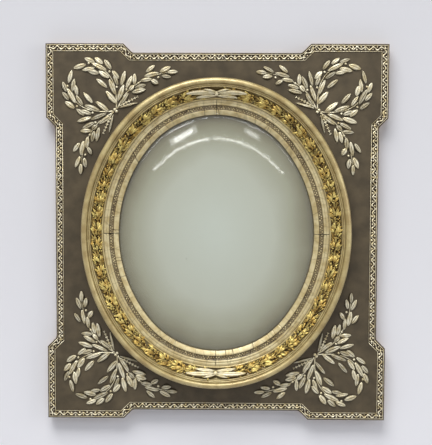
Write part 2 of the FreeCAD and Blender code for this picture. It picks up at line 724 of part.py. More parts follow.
def spray(knot, room):
    """Half of one corner's laurel: the wreath branch and the outer branch, as large as
    the room above the knot lets its highest leaf be."""
    reach = room / max(tip[1] for _, tip in WREATH_LEAF_SHARES)

    def place(shares):
        return knot + FreeCAD.Vector(shares[0], 0, shares[1]) * reach

    def branch(stem_shares, leaf_shares):
        line = [place(shares) for shares in stem_shares]
        leaves = [(place(base), place(tip)) for base, tip in leaf_shares]
        return [stem(line)] + [leaf(nearest_on_stem(line, base), base, tip) for base, tip in leaves]

    solids = branch(WREATH_STEM_SHARES, WREATH_LEAF_SHARES) + branch(OUTER_STEM_SHARES, OUTER_LEAF_SHARES)
    solids += [berry(place(shares)) for shares in BERRY_SHARES]
    whole = solids[0].multiFuse(solids[1:])

    # The spray stops short of the corner's diagonal and of the knot.
    far = 2 * reach
    half = Part.makeBox(far, far, 2 * far, FreeCAD.Vector(-far, -far / 2, -far))
    half.rotate(FreeCAD.Vector(), FreeCAD.Vector(0, 1, 0), -45)
    half.translate(knot + FreeCAD.Vector(1, 0, 1) * (size("spray_gap") / 2))
    clear = size("knot_radius") + size("spray_gap") / 2
    behind = knot + FreeCAD.Vector(0, far / 2, 0)
    core = prism(behind, clear, clear, far, KNOT_SIDES, FreeCAD.Vector(0, -1, 0))
    return whole.cut([half, core]).removeSplitter()


def laurel():
    """Two sprays and a knot in each corner, from those of one corner and their images."""
    bearing = math.radians(size("knot_bearing"))
    centre = oval_point(bearing, layout.roll_outer + size("knot_clearance"), layout.plate_front)
    centre.x = -centre.x
    border = size("border_inset") + size("border_width")
    high_room = layout.half_height - border - size("spray_top_margin") - centre.z
    low_room = layout.half_width - border - size("spray_side_margin") + centre.x
    high = keep(shaped("laurel_upper_left_high_spray", spray(centre, high_room)))
    turned_over = shaped("low_spray_turned_over", spray(centre, low_room))
    low = keep(mirror_image(turned_over, "laurel_upper_left_low_spray", (1, 0, 1), (centre.x, 0, centre.z)))

    button = prism(centre, size("knot_radius"), size("knot_radius") / 2, size("knot_height"), KNOT_SIDES,
                   FreeCAD.Vector(0, -1, 0))
    knot = keep(shaped("laurel_upper_left_knot", button))
    for piece in (high, low, knot):
        tail = piece.Label.replace("laurel_upper_left_", "")
        keep(mirror_image(piece, f"laurel_upper_right_{tail}", ACROSS))
        lower = keep(mirror_image(piece, f"laurel_lower_left_{tail}", UPRIGHT))
        keep(mirror_image(lower, f"laurel_lower_right_{tail}", ACROSS))


# Hardware on the back

SCREW_SIDES = 8
SCREW_CROWN_SHARE = 0.7
EYE_SIDES = 12
BOW_SIDES = 10
STRAP_SCREW_SHARE = 0.62
BATTEN_SCREW_SHARE = 0.38

def screw(place, turning=False):
    """Wood screw from the back: a low head and a shank, round where something turns on it."""
    into = FreeCAD.Vector(0, -1, 0)
    head_radius = size("screw_head_radius")
    crown_radius = head_radius * SCREW_CROWN_SHARE
    head = prism(place, head_radius, crown_radius, size("screw_head_height"), SCREW_SIDES, -into)
    radius = size("screw_shank_radius")
    if turning:
        shank = Part.makeCylinder(radius, size("screw_length"), place, into)
    else:
        shank = prism(place, radius, radius / 2, size("screw_length"), SCREW_SIDES, into)
    return head.fuse(shank)


def screw_group(label, places, turning=False):
    """Like screws, each a solid of its own in one node."""
    return keep(shaped(label, Part.makeCompound([screw(place, turning) for place in places])))


def corner_signs():
    """Names and signs of the four corners."""
    return [("upper_right", 1, 1), ("upper_left", -1, 1), ("lower_right", 1, -1), ("lower_left", -1, -1)]


def button_pivot(sign_x, sign_z):
    """Pivot of a turn button, on the line through two arcs' centres."""
    angle = math.radians(layout.side_angle)
    out = layout.side_radius + layout.opening_offset + size("button_length") / 2 - size("button_overlap")
    x = layout.side_centre + out * math.cos(angle)
    z = out * math.sin(angle)
    return FreeCAD.Vector(sign_x * x, -layout.plate_back, sign_z * z)


def turn_buttons():
    """Four turn buttons that hold the backboard, each on its own screw."""
    lift = size("running_gap")
    bore = size("screw_shank_radius") + size("bearing_play")
    for name, sign_x, sign_z in corner_signs():
        body = new_body(f"turn_button_{name}")
        reach = "Sizes.button_length / 2"
        side = "Sizes.button_width / 2"
        nip = "Sizes.button_width / 4"
        shoulder = f"{reach} - {nip}"
        right_end = [(shoulder, f"-{side}"), (reach, f"-{nip}"), (reach, nip), (shoulder, side)]
        outline = right_end + [(f"-({x})", z) for x, z in reversed(right_end)]
        plate = pad(body, [outline], "0", "Sizes.button_thickness")
        sketch = new_sketch(body, "XZ_Plane")
        sketch.addGeometry(Part.Circle(FreeCAD.Vector(), FreeCAD.Vector(0, 0, 1), bore))
        sketch.addConstraint(Sketcher.Constraint("Coincident", 0, 3, -1, 1))
        index = sketch.addConstraint(Sketcher.Constraint("Radius", 0, bore))
        sketch.setExpression(f"Constraints[{index}]", "Sizes.screw_shank_radius + Sizes.bearing_play")
        hole = body.newObject("PartDesign::Pocket", "Bore")
        hole.Profile = sketch
        hole.Type = "ThroughAll"
        hole.Reversed = True
        doc.recompute()
        if hole.Shape.Volume >= plate.Shape.Volume:
            raise RuntimeError("the bore of a turn button cuts nothing")
        pivot = button_pivot(sign_x, sign_z) + FreeCAD.Vector(0, lift + size("button_thickness"), 0)
        angle = layout.side_angle * sign_x * sign_z
        body.Placement = FreeCAD.Placement(pivot, FreeCAD.Rotation(FreeCAD.Vector(0, 1, 0), -angle))
        keep(body)
    head_seat = FreeCAD.Vector(0, 2 * lift + size("button_thickness"), 0)
    screw_group("turn_button_screws", [button_pivot(x, z) + head_seat for _, x, z in corner_signs()], True)


def eye_depth():
    """Depth of the hanger's hinge line from the wall."""
    return layout.plate_back - size("ring_wire_radius") - size("bearing_play") - size("strap_thickness")


def hanger_places():
    """Sides and hinge places of the two hangers."""
    across = size("hanger_across") / 2
    height = layout.board_inner_z + size("hanger_rise")
    return [(side, FreeCAD.Vector(sign * across, -eye_depth(), height))
            for side, sign in (("left", -1), ("right", 1))]


def strap_screw_place(hinge):
    """Screw at the foot of the strap, seated on its face."""
    back = -layout.plate_back + size("strap_thickness")
    return FreeCAD.Vector(hinge.x, back, hinge.z - size("strap_length") * STRAP_SCREW_SHARE)


def strap(hinge):
    """Strap with a rolled eye at its top and a screw hole."""
    width = size("strap_width")
    thick = size("strap_thickness")
    bore = size("ring_wire_radius") + size("bearing_play")
    left = hinge.x - width / 2
    across = FreeCAD.Vector(1, 0, 0)
    plate = Part.makeBox(width, thick, size("strap_length"),
                         FreeCAD.Vector(left, -layout.plate_back, hinge.z - size("strap_length")))
    start = FreeCAD.Vector(left, hinge.y, hinge.z)
    eye = prism(start, bore + thick, bore + thick, width, EYE_SIDES, across)
    hollow = Part.makeCylinder(bore, width, start, across)
    hole_radius = (size("screw_shank_radius") + size("screw_play")) / math.cos(math.pi / SCREW_SIDES)
    mouth = strap_screw_place(hinge) + FreeCAD.Vector(0, size("overrun"), 0)
    hole = prism(mouth, hole_radius, hole_radius, thick + 2 * size("overrun"), SCREW_SIDES,
                 FreeCAD.Vector(0, -1, 0))
    return plate.fuse(eye).cut([hollow, hole])


def hanger_ring(hinge):
    """D-shaped ring: a straight bar in the eye and a bow that hangs from it."""
    wire = size("ring_wire_radius")
    middle = size("ring_inner_width") / 2 + wire
    bar = Part.makeCylinder(wire, 2 * middle + 2 * wire, hinge - FreeCAD.Vector(middle + wire, 0, 0),
                            FreeCAD.Vector(1, 0, 0))
    side = wire * math.cos(math.pi / 4)
    corners = [(middle + x * side, y * side) for x, y in ((-1, -1), (1, -1), (1, 1), (-1, 1))]
    points = []
    for i in range(BOW_SIDES + 1):
        turn = math.pi * i / BOW_SIDES
        points += [hinge + FreeCAD.Vector(reach * math.cos(turn), depth, -reach * math.sin(turn))
                   for reach, depth in corners]
    faces = [(0, 1, 2, 3), tuple(4 * BOW_SIDES + i for i in (3, 2, 1, 0))]
    for i in range(BOW_SIDES):
        a, b = 4 * i, 4 * (i + 1)
        faces += [(a + k, b + k, b + (k + 1) % 4, a + (k + 1) % 4) for k in range(4)]
    return bar.fuse(polyhedron(points, faces))


def hangers():
    """Two ring hangers on the stiles."""
    places = hanger_places()
    keep(shaped("hanger_straps", Part.makeCompound([strap(hinge) for _, hinge in places])))
    for side, hinge in places:
        keep(shaped(f"hanger_ring_{side}", hanger_ring(hinge)))
    screw_group("hanger_screws", [strap_screw_place(hinge) for _, hinge in places])


def batten_screw_places():
    """Four places, two through each batten, where the heads seat below its face."""
    spread = size("batten_length") * BATTEN_SCREW_SHARE
    height = layout.half_height - size("step_depth") - size("batten_edge_gap") - size("batten_width") / 2
    sunk = size("screw_head_height") + size("running_gap")
    return [FreeCAD.Vector(x * spread, -sunk, z * height) for x in (-1, 1) for z in (-1, 1)]


plate_boards()
battens()
moulding()
slip()
garland()
glazing()
border()
laurel()
turn_buttons()
hangers()
screw_group("batten_screws", batten_screw_places())
doc.recompute()

# Every object is sound, and every piece is a closed solid, before anything is written
for obj in doc.Objects:
    if "Invalid" in obj.State or "Error" in obj.State:
        raise RuntimeError(f"{obj.Label} failed: {obj.State}")
for name, piece in nodes.items():
    if piece.Shape.isNull() or not piece.Shape.isValid() or not piece.Shape.Solids:
        raise RuntimeError(f"{name} has no sound solid")
    piece.Shape.exportStep(f"parts/{name}.step")
    box = piece.Shape.BoundBox
    low, high = FreeCAD.Vector(box.XMin, box.YMin, box.ZMin), FreeCAD.Vector(box.XMax, box.YMax, box.ZMax)
    print(f"{name}: {len(piece.Shape.Solids)} solid, {piece.Shape.Volume:.0f} mm3, {low} to {high}")
print(len(nodes), "pieces")
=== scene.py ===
"""Oval picture frame with domed glass: the surfaces and finishes that dress the CAD model."""
import logging
import math
from dataclasses import dataclass
from enum import Enum
from functools import cached_property

import bmesh
import bpy
import numpy as np
from mathutils import Matrix, Vector


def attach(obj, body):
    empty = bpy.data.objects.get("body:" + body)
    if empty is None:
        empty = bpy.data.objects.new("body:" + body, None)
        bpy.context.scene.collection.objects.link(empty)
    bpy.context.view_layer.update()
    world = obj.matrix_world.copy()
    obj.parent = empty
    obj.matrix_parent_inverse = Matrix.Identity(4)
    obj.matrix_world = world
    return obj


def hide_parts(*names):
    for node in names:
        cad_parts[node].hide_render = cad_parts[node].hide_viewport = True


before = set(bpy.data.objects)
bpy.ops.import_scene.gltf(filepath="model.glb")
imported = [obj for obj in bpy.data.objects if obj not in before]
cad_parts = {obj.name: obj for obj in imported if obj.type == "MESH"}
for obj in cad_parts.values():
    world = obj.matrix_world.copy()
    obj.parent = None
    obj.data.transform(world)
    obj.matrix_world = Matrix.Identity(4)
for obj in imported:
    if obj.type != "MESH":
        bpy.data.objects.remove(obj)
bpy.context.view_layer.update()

LOG = logging.getLogger("oval_frame")
MM = 0.001
Array = np.ndarray

# Sizes that several pieces share, in mm: half axes of the sight opening, and the plate's face from the wall.
SIGHT_HALF_WIDTH = 172.0
SIGHT_HALF_HEIGHT = 208.5
PLATE_FRONT = 22.0


class Slot(Enum):
    """Material slots of the record, for the pieces that are made here."""
    MOULDING = "moulding_gilt"
    SLIP = "slip_gilt"
    GARLAND = "garland_gilt"
    LAUREL = "laurel_gilt"
    BORDER = "border_gilt"
    GLASS = "clear_glass"
    SCREW = "screw_steel"
    BUTTON = "button_brass"
    HANGER = "hanger_steel"


# Materials

def linear(colour: str) -> tuple[float, float, float, float]:
    """Linear colour of an sRGB hex value.

    Args:
        colour: Six hex digits after a hash.

    Returns:
        Red, green, blue and one for alpha.
    """
    parts = [int(colour[i:i + 2], 16) / 255 for i in (1, 3, 5)]
    low = [c / 12.92 if c <= 0.04045 else ((c + 0.055) / 1.055) ** 2.4 for c in parts]
    return low[0], low[1], low[2], 1.0


def add(tree: bpy.types.NodeTree, kind: str, inputs: dict | None = None,
        stops: tuple[tuple[float, str], ...] = (), **settings: object) -> bpy.types.Node:
    """Node with its settings and links.

    Args:
        tree: Node tree that gets it.
        kind: Blender's name of the node, less its first word, ShaderNode.
        inputs: Value or socket for each input, by name or number.
        stops: Place and sRGB hex value of each stop of a colour ramp, from low to high.
        **settings: Properties of the node.

    Returns:
        The node.
    """
    made = tree.nodes.new("ShaderNode" + kind)
    for key, value in settings.items():
        setattr(made, key, value)
    for key, value in (inputs or {}).items():
        if isinstance(value, bpy.types.NodeSocket):
            tree.links.new(value, made.inputs[key])
        else:
            made.inputs[key].default_value = value
    if stops:
        elements = made.color_ramp.elements
        for _ in stops[2:]:
            elements.new(0.5)
        for element, (place, colour) in zip(elements, stops):
            element.position = place
            element.color = linear(colour)
    return made


def empty_material(name: str) -> tuple[bpy.types.Material, bpy.types.NodeTree]:
    """Material without nodes.

    Args:
        name: Name of the finish.

    Returns:
        The material and its tree.
    """
    material = bpy.data.materials.new(name)
    material.use_nodes = True
    material.node_tree.nodes.clear()
    return material, material.node_tree


def soft_spots(tree: bpy.types.NodeTree, size: float, detail: float = 3.0,
               stretch: tuple[float, float, float] = (1, 1, 1)) -> bpy.types.NodeSocket:
    """Cloudy pattern of a real size, in object coordinates.

    Args:
        tree: Node tree that gets it.
        size: Size of a spot in mm.
        detail: Finer levels under it.
        stretch: Scale along each axis.

    Returns:
        Factor from 0 to 1.
    """
    where = add(tree, "TexCoord").outputs["Object"]
    moved = add(tree, "Mapping", {"Vector": where, "Scale": stretch}).outputs["Vector"]
    return add(tree, "TexNoise", {"Vector": moved, "Scale": 1 / (size * MM), "Detail": detail}).outputs[0]


def lay_surface(tree: bpy.types.NodeTree, height: bpy.types.NodeSocket, strength: float, depth: float,
                inputs: dict) -> None:
    """Ends a tree with a surface that has a fine relief.

    Args:
        tree: Node tree that gets it.
        height: Relief from 0 to 1.
        strength: Share of the relief that shows.
        depth: Depth of the relief in mm.
        inputs: Value or socket for each other input of the surface.
    """
    bump = add(tree, "Bump", {"Strength": strength, "Distance": depth * MM, "Height": height}).outputs[0]
    shader = add(tree, "BsdfPrincipled", {**inputs, "Normal": bump})
    add(tree, "OutputMaterial", {"Surface": shader.outputs[0]})


@dataclass(frozen=True)
class Gilt:
    """Metal leaf on gesso, laid by hand and toned: bright where it is rubbed, brown in the hollows from toning and
    painted shade.

    Sizes are in mm. The real grain of the gesso is finer than 1.6 mm. It is drawn as coarse as it needs to show.
    """
    name: str
    leaf: str
    worn: str
    tone: str
    metallic: float = 0.55
    roughness: float = 0.38
    spot: float = 9.0
    craze: float = 0.0
    craze_depth: float = 0.2
    varnish: float = 0.0
    grain: float = 1.6
    grain_depth: float = 0.4
    toned_roughness: float = 0.75
    varnish_roughness: float = 0.3

    def material(self) -> bpy.types.Material:
        """The finish, which reads the darkening and run attributes of its piece.

        The share of the tone is the darkening, partly painted shade, plus half of (grain - 0.5), read from 0.12 to
        0.85.

        Returns:
            The material.
        """
        material, tree = empty_material(self.name)
        spots = soft_spots(tree, self.spot)
        fine = soft_spots(tree, self.grain, 4.0)
        rubbed = add(tree, "ValToRGB", {0: spots}, ((0.36, self.worn), (0.62, self.leaf))).outputs["Color"]
        # Painted shade: the darkening attribute browns hollows, creases, edges and undersides, along with real toning.
        shade_and_toning = add(tree, "Attribute", attribute_name="shade_and_toning").outputs["Fac"]
        ragged = add(tree, "Math", {0: fine, 1: 0.5, 2: -0.25}, operation="MULTIPLY_ADD").outputs[0]
        deep = add(tree, "Math", {0: shade_and_toning, 1: ragged}, operation="ADD", use_clamp=True).outputs[0]
        shade_and_toning_share = add(tree, "MapRange", {"Value": deep, "From Min": 0.12, "From Max": 0.85}).outputs[0]
        if self.craze:
            shade_and_toning_share = self.crazed(tree, shade_and_toning_share)
        toned = add(tree, "Mix", {"Factor": shade_and_toning_share, 6: rubbed, 7: linear(self.tone)}, data_type="RGBA").outputs[2]
        matt = add(tree, "MapRange", {
            "Value": shade_and_toning_share, "To Min": self.roughness, "To Max": self.toned_roughness}).outputs[0]
        lay_surface(tree, fine, 0.35, self.grain_depth, {
            "Base Color": toned, "Metallic": self.metallic, "Roughness": matt,
            "Coat Weight": self.varnish, "Coat Roughness": self.varnish_roughness})
        return material

    def crazed(self, tree: bpy.types.NodeTree, shade_and_toning_share: bpy.types.NodeSocket) -> bpy.types.NodeSocket:
        """Tone with fine cracks across the run added to it.

        The cracks are the edges of cells that are long across the run, so that they cross it.

        Args:
            tree: Node tree of the finish.
            shade_and_toning_share: Share of the tone in the hollows, from toning and painted shade.

        Returns:
            Share of the tone in hollows and cracks.
        """
        run = add(tree, "Attribute", attribute_name="run").outputs["Vector"]
        across = add(tree, "Mapping", {"Vector": run, "Scale": (1 / self.craze, 0.012, 1)}).outputs[0]
        cells = add(tree, "TexVoronoi", {"Vector": across, "Scale": 1.0}, feature="DISTANCE_TO_EDGE")
        line = add(tree, "MapRange", {
            "Value": cells.outputs["Distance"], "From Min": 0.0, "From Max": 0.03,
            "To Min": self.craze_depth, "To Max": 0.0})
        return add(tree, "Math", {0: shade_and_toning_share, 1: line.outputs[0]}, operation="ADD", use_clamp=True).outputs[0]


# Grit of paint, sawn wood and worn metal, in mm. The real grit is finer, and this is about the finest that shows.
GRIT = 1.8
GRIT_DEPTH = 0.3


@dataclass(frozen=True)
class Matt:
    """Paint, wood or worn metal: two close colours in spots or along a grain."""
    name: str
    light: str
    dark: str
    spot: float
    roughness: float
    stretch: tuple[float, float, float] = (1, 1, 1)
    relief: float = 0.2
    metallic: float = 0.0

    def colour(self, tree: bpy.types.NodeTree) -> bpy.types.NodeSocket:
        """Its two colours, in spots of their real size."""
        spots = soft_spots(tree, self.spot, 6.0, self.stretch)
        return add(tree, "ValToRGB", {0: spots}, ((0.32, self.dark), (0.68, self.light))).outputs["Color"]

    def material(self) -> bpy.types.Material:
        """The finish, in object coordinates.

        Returns:
            The material.
        """
        material, tree = empty_material(self.name)
        lay_surface(tree, soft_spots(tree, GRIT, stretch=self.stretch), self.relief, GRIT_DEPTH, {
            "Base Color": self.colour(tree), "Metallic": self.metallic, "Roughness": self.roughness})
        return material


@dataclass(frozen=True)
class PaintedBoard:
    """Board painted on its face and edges, and left bare behind."""
    name: str
    paint: Matt
    wood: Matt
    behind: float = -8.4

    def material(self) -> bpy.types.Material:
        """The finish: paint where y is less than behind, in mm, and wood elsewhere.

        Returns:
            The material.
        """
        material, tree = empty_material(self.name)
        where = add(tree, "TexCoord").outputs["Object"]
        depth = add(tree, "SeparateXYZ", {0: where}).outputs["Y"]
        bare = add(tree, "Math", {0: depth, 1: self.behind * MM}, operation="GREATER_THAN").outputs[0]
        colour = add(tree, "Mix", {
            "Factor": bare, 6: self.paint.colour(tree), 7: self.wood.colour(tree)}, data_type="RGBA").outputs[2]
        matt = add(tree, "MapRange", {
            "Value": bare, "To Min": self.paint.roughness, "To Max": self.wood.roughness}).outputs[0]
        lay_surface(tree, soft_spots(tree, GRIT, stretch=self.wood.stretch), self.paint.relief, GRIT_DEPTH, {
            "Base Color": colour, "Roughness": matt})
        return material


@dataclass(frozen=True)
class Card:
    """Pulp card, faced with paper: greyer towards its edge as painted shadow of the slip and moulding. Sizes are in
    mm.
    """
    name: str = "Pulp card, aged, with painted edge shadow"
    half_width: float = SIGHT_HALF_WIDTH
    half_height: float = SIGHT_HALF_HEIGHT
    # From the middle out to the sight edge: the card's own pale tone, then darker as painted shadow of the slip and
    # moulding.
    rings: tuple[tuple[float, str], ...] = (
        (0.1, "#CFD4C9"), (0.6, "#C4C6B7"), (0.82, "#A8A690"), (0.93, "#8B866D"), (1.0, "#6E664E"))
    cloud: float = 90.0
    unevenness: float = 0.16
    fleck_spacing: float = 26.0
    fleck_depth: float = 0.45
    fleck_rarity: float = 0.78
    fleck: str = "#5E5A48"

    def material(self) -> bpy.types.Material:
        """The finish, with rings of tone that follow the opening.

        A ring is the share of the way to the sight edge, made uneven by a cloud. The outer rings are painted shadow of
        the slip and moulding. A few flecks of dust lie over it.

        Returns:
            The material.
        """
        material, tree = empty_material(self.name)
        where = add(tree, "TexCoord").outputs["Object"]
        scale = (1 / (self.half_width * MM), 0.0, 1 / (self.half_height * MM))
        share = add(tree, "Mapping", {"Vector": where, "Scale": scale}).outputs[0]
        far = add(tree, "VectorMath", {0: share}, operation="LENGTH").outputs["Value"]
        spread = add(tree, "Math", {
            0: soft_spots(tree, self.cloud, 4.0), 1: self.unevenness, 2: -self.unevenness / 2},
            operation="MULTIPLY_ADD").outputs[0]
        uneven = add(tree, "Math", {0: far, 1: spread}, operation="ADD").outputs[0]
        clean = add(tree, "ValToRGB", {0: uneven}, self.rings).outputs["Color"]
        cells = add(tree, "TexVoronoi", {"Vector": where, "Scale": 1 / (self.fleck_spacing * MM)})
        fleck = add(tree, "MapRange", {
            "Value": cells.outputs["Distance"], "From Min": 0.02, "From Max": 0.08,
            "To Min": self.fleck_depth, "To Max": 0.0})
        rare = add(tree, "SeparateColor", {0: cells.outputs["Color"]}).outputs[0]
        few = add(tree, "Math", {0: rare, 1: self.fleck_rarity}, operation="GREATER_THAN").outputs[0]
        dust = add(tree, "Math", {0: fleck.outputs[0], 1: few}, operation="MULTIPLY").outputs[0]
        colour = add(tree, "Mix", {"Factor": dust, 6: clean, 7: linear(self.fleck)}, data_type="RGBA").outputs[2]
        shader = add(tree, "BsdfPrincipled", {"Base Color": colour, "Roughness": 0.8})
        add(tree, "OutputMaterial", {"Surface": shader.outputs[0]})
        return material


@dataclass(frozen=True)
class Glass:
    """Soda-lime glass, bent over a mould: clear, with a fire-polished face. It lets the light of lamps through."""
    name: str = "Soda-lime glass, bent"

    def material(self) -> bpy.types.Material:
        """The finish: glass, but plainly clear to shadow rays and to diffuse rays.

        Returns:
            The material.
        """
        material, tree = empty_material(self.name)
        shader = add(tree, "BsdfPrincipled", {
            "Base Color": linear("#F4F7F3"), "Roughness": 0.05, "IOR": 1.5, "Transmission Weight": 1.0})
        rays = add(tree, "LightPath").outputs
        soft = add(tree, "Math", {
            0: rays["Is Shadow Ray"], 1: rays["Is Diffuse Ray"]}, operation="MAXIMUM").outputs[0]
        clear = add(tree, "BsdfTransparent")
        mixed = add(tree, "MixShader", {0: soft, 1: shader.outputs[0], 2: clear.outputs[0]})
        add(tree, "OutputMaterial", {"Surface": mixed.outputs[0]})
        return material


# Leaf on smooth gesso under old varnish: a broad soft gleam on the roll, hollows browned by toning and painted shade,
# and fine cracks across.
MOULDING_GILT = Gilt("Silver-gilt leaf on gesso, toned", "#C7B57C", "#A79057", "#54401C", metallic=0.5, roughness=0.4,
                     spot=22.0, craze=26.0, craze_depth=0.14, varnish=1.0)
# The same with less metal and varnish: paler and flatter, with cracks that stand out.
SLIP_GILT = Gilt("Silver-gilt leaf on gesso, crazed", "#DCCD9C", "#C1AC75", "#4E3C1D", metallic=0.34, roughness=0.4,
                 spot=12.0, craze=22.0, craze_depth=0.3, varnish=0.7)
# Gold leaf on small cast leaves: the strongest yellow here, broken by dark gaps, partly painted shade at leaf edges
# and creases.
GARLAND_GILT = Gilt("Gold leaf on cast composition", "#EAD683", "#C9A553", "#4E3512", metallic=0.6, roughness=0.34,
                    spot=10.0)
# Thin pale leaf on large cast leaves: nearly white, with little metal in it.
TIE_GILT = Gilt("Pale gold leaf on cast composition", "#FFF5D2", "#EBDBA8", "#6B5428", metallic=0.2, roughness=0.36)
# Silver-gilt leaf rubbed on its crests: pale high points against the dark plate, and hollows nearly black from toning
# and painted shade.
LAUREL_GILT = Gilt("Silver-gilt leaf on cast composition", "#F8F0D2", "#CFC096", "#362A14", metallic=0.46,
                   roughness=0.34, spot=9.0)
# The same leaf on a narrow pressed strip: a pale glitter, with a greyer ground from toning and painted shade.
BORDER_GILT = Gilt("Silver-gilt leaf on pressed composition", "#FDF4D6", "#E0CE9C", "#46392A", metallic=0.46,
                   roughness=0.34, spot=8.0)
# Brushed oil paint, long dry: dull brown with faint clouds.
PLATE_PAINT = Matt("Oil paint on board, brown", "#5B4F39", "#423825", 26.0, 0.6, relief=0.3)
# Planed deal, bare or stained and dulled by age: streaks along the board and no shine.
RAIL_WOOD = Matt("Deal rail, bare behind", "#A58860", "#7C6040", 6.0, 0.8, (0.05, 1.0, 1.0))
STILE_WOOD = Matt("Deal stile, bare behind", "#A58860", "#7C6040", 6.0, 0.8, (1.0, 1.0, 0.05))
BACKBOARD_WOOD = Matt("Deal board, bare and aged", "#A3875F", "#86683F", 5.0, 0.8, (1.0, 1.0, 0.05))
BATTEN_WOOD = Matt("Deal batten, stained", "#8A6A43", "#654A2B", 5.0, 0.75, (0.05, 1.0, 1.0))
# Plated or stamped metal gone dull: a soft grey or brown shine, patchy.
STEEL = Matt("Steel, zinc plated and dulled", "#A3A29C", "#84827C", 4.0, 0.42, metallic=1.0)
BRASS = Matt("Brass, stamped and tarnished", "#B4954F", "#8C6E33", 5.0, 0.4, metallic=1.0)


# Meshes

@dataclass
class Surface:
    """Faces in mm in the row frame, with what the finishes read."""
    places: Array
    quads: Array
    triangles: Array
    # Darkening towards a finish's tone: partly real toning, partly painted shade in hollows, creases and undersides.
    shade_and_toning: Array
    run: Array

    def tone(self, tones: Array) -> None:
        """Adds a tone to the darkening of each place, and keeps it from 0 to 1."""
        self.shade_and_toning = np.clip(self.shade_and_toning + tones, 0, 1)


def grid_quads(rows: int, columns: int, rows_close: bool, columns_close: bool) -> Array:
    """Corners of the quads between the places of a grid.

    Args:
        rows: Places along.
        columns: Places across.
        rows_close: The last row joins the first.
        columns_close: The last column joins the first.

    Returns:
        Four indices for each quad.
    """
    i, j = np.meshgrid(np.arange(rows - (not rows_close)), np.arange(columns - (not columns_close)), indexing="ij")
    i2, j2 = (i + 1) % rows, (j + 1) % columns
    return np.stack([i * columns + j, i2 * columns + j, i2 * columns + j2, i * columns + j2], -1).reshape(-1, 4)


def joined(parts: list[Surface]) -> Surface:
    """Several surfaces as one.

    Args:
        parts: The surfaces.

    Returns:
        One surface with the faces of them all.
    """
    starts = np.cumsum([0] + [len(p.places) for p in parts])
    return Surface(
        np.concatenate([p.places for p in parts]),
        np.concatenate([p.quads + s for p, s in zip(parts, starts)]),
        np.concatenate([p.triangles + s for p, s in zip(parts, starts)]),
        np.concatenate([p.shade_and_toning for p in parts]),
        np.concatenate([p.run for p in parts]),
    )


def capped(places: Array, shade_and_toning: Array, run: Array) -> Surface:
    """Closed form from a grid whose rows are rings, with a pole beyond each end.

    A pole lies at the mean of the ring beside it.

    Args:
        places: Rows by columns by three.
        shade_and_toning: Rows by columns: how dark each place is, partly painted shade.
        run: Rows by columns by two.

    Returns:
        The closed surface.
    """
    rows, columns = shade_and_toning.shape
    count = rows * columns
    ring = np.arange(columns)
    after = (ring + 1) % columns
    first = np.stack([np.full(columns, count), ring, after], -1)
    last = np.stack([np.full(columns, count + 1), (rows - 1) * columns + after, (rows - 1) * columns + ring], -1)
    return Surface(
        np.concatenate([places.reshape(-1, 3), places[[0, -1]].mean(1)]),
        grid_quads(rows, columns, False, True),
        np.concatenate([first, last]),
        np.concatenate([shade_and_toning.ravel(), shade_and_toning[[0, -1]].mean(1)]),
        np.concatenate([run.reshape(-1, 2), run[[0, -1]].mean(1)]),
    )


def leaf_form() -> Surface:
    """Laurel leaf of unit length.

    Half width is (4 u (1 - u)) to the power 0.72, u being the share along it, and the height is a table across it
    times 0.5 + 0.5 sin(pi u^0.7). Each ring goes over the top and back under it.

    Returns:
        The closed leaf, with its base at the origin.
    """
    along = np.array([0.04, 0.16, 0.34, 0.54, 0.74, 0.9, 0.98])[:, None]
    across = np.array([-1.0, -0.6, -0.18, 0.0, 0.18, 0.6, 1.0])[None, :]
    crown = np.array([0.0, 0.72, 1.0, 0.62, 1.0, 0.72, 0.0])[None, :]
    half = (4 * along * (1 - along)) ** 0.72
    height = crown * (0.5 + 0.5 * np.sin(np.pi * along ** 0.7))
    places = np.stack([along + 0 * across, half * across, height], -1)
    # Darker at both edges and along the middle crease: painted shade where the leaf meets what lies under it and in
    # its crease, with toning.
    shade_and_toning = np.array([1.0, 0.3, 0.0, 0.8, 0.0, 0.3, 1.0])[None, :] + 0 * along
    return capped(places, shade_and_toning, places[..., :2])


def berry_form() -> Surface:
    """Ball of unit radius: cosine and sine of two angles.

    Returns:
        The closed ball, darker towards its foot as painted shade where it sits.
    """
    tilt = np.linspace(-1.25, 1.25, 5)[:, None]
    turn = np.linspace(0, 2 * np.pi, 8, endpoint=False)[None, :]
    places = np.stack([np.cos(tilt) * np.cos(turn), np.cos(tilt) * np.sin(turn), np.sin(tilt) + 0 * turn], -1)
    # Darker towards the foot: painted shade where the ball sits on what is under it.
    shade_and_toning = np.clip(0.75 - 1.1 * np.sin(tilt), 0, 1) + 0 * turn
    return capped(places, shade_and_toning, places[..., :2])


def repeated(form: Surface, count: int) -> tuple[Array, Surface]:
    """Copies of a form whose places are still to be set.

    Args:
        form: Form that is repeated.
        count: Number of copies.

    Returns:
        Places as copies by places by three, and a surface with the faces of them all.
    """
    size = len(form.places)
    shift = (np.arange(count) * size)[:, None, None]
    whole = Surface(
        np.empty((0, 3)),
        (form.quads[None] + shift).reshape(-1, 4),
        (form.triangles[None] + shift).reshape(-1, 3),
        np.tile(form.shade_and_toning, count),
        np.tile(form.run, (count, 1)),
    )
    return np.tile(form.places, (count, 1, 1)), whole


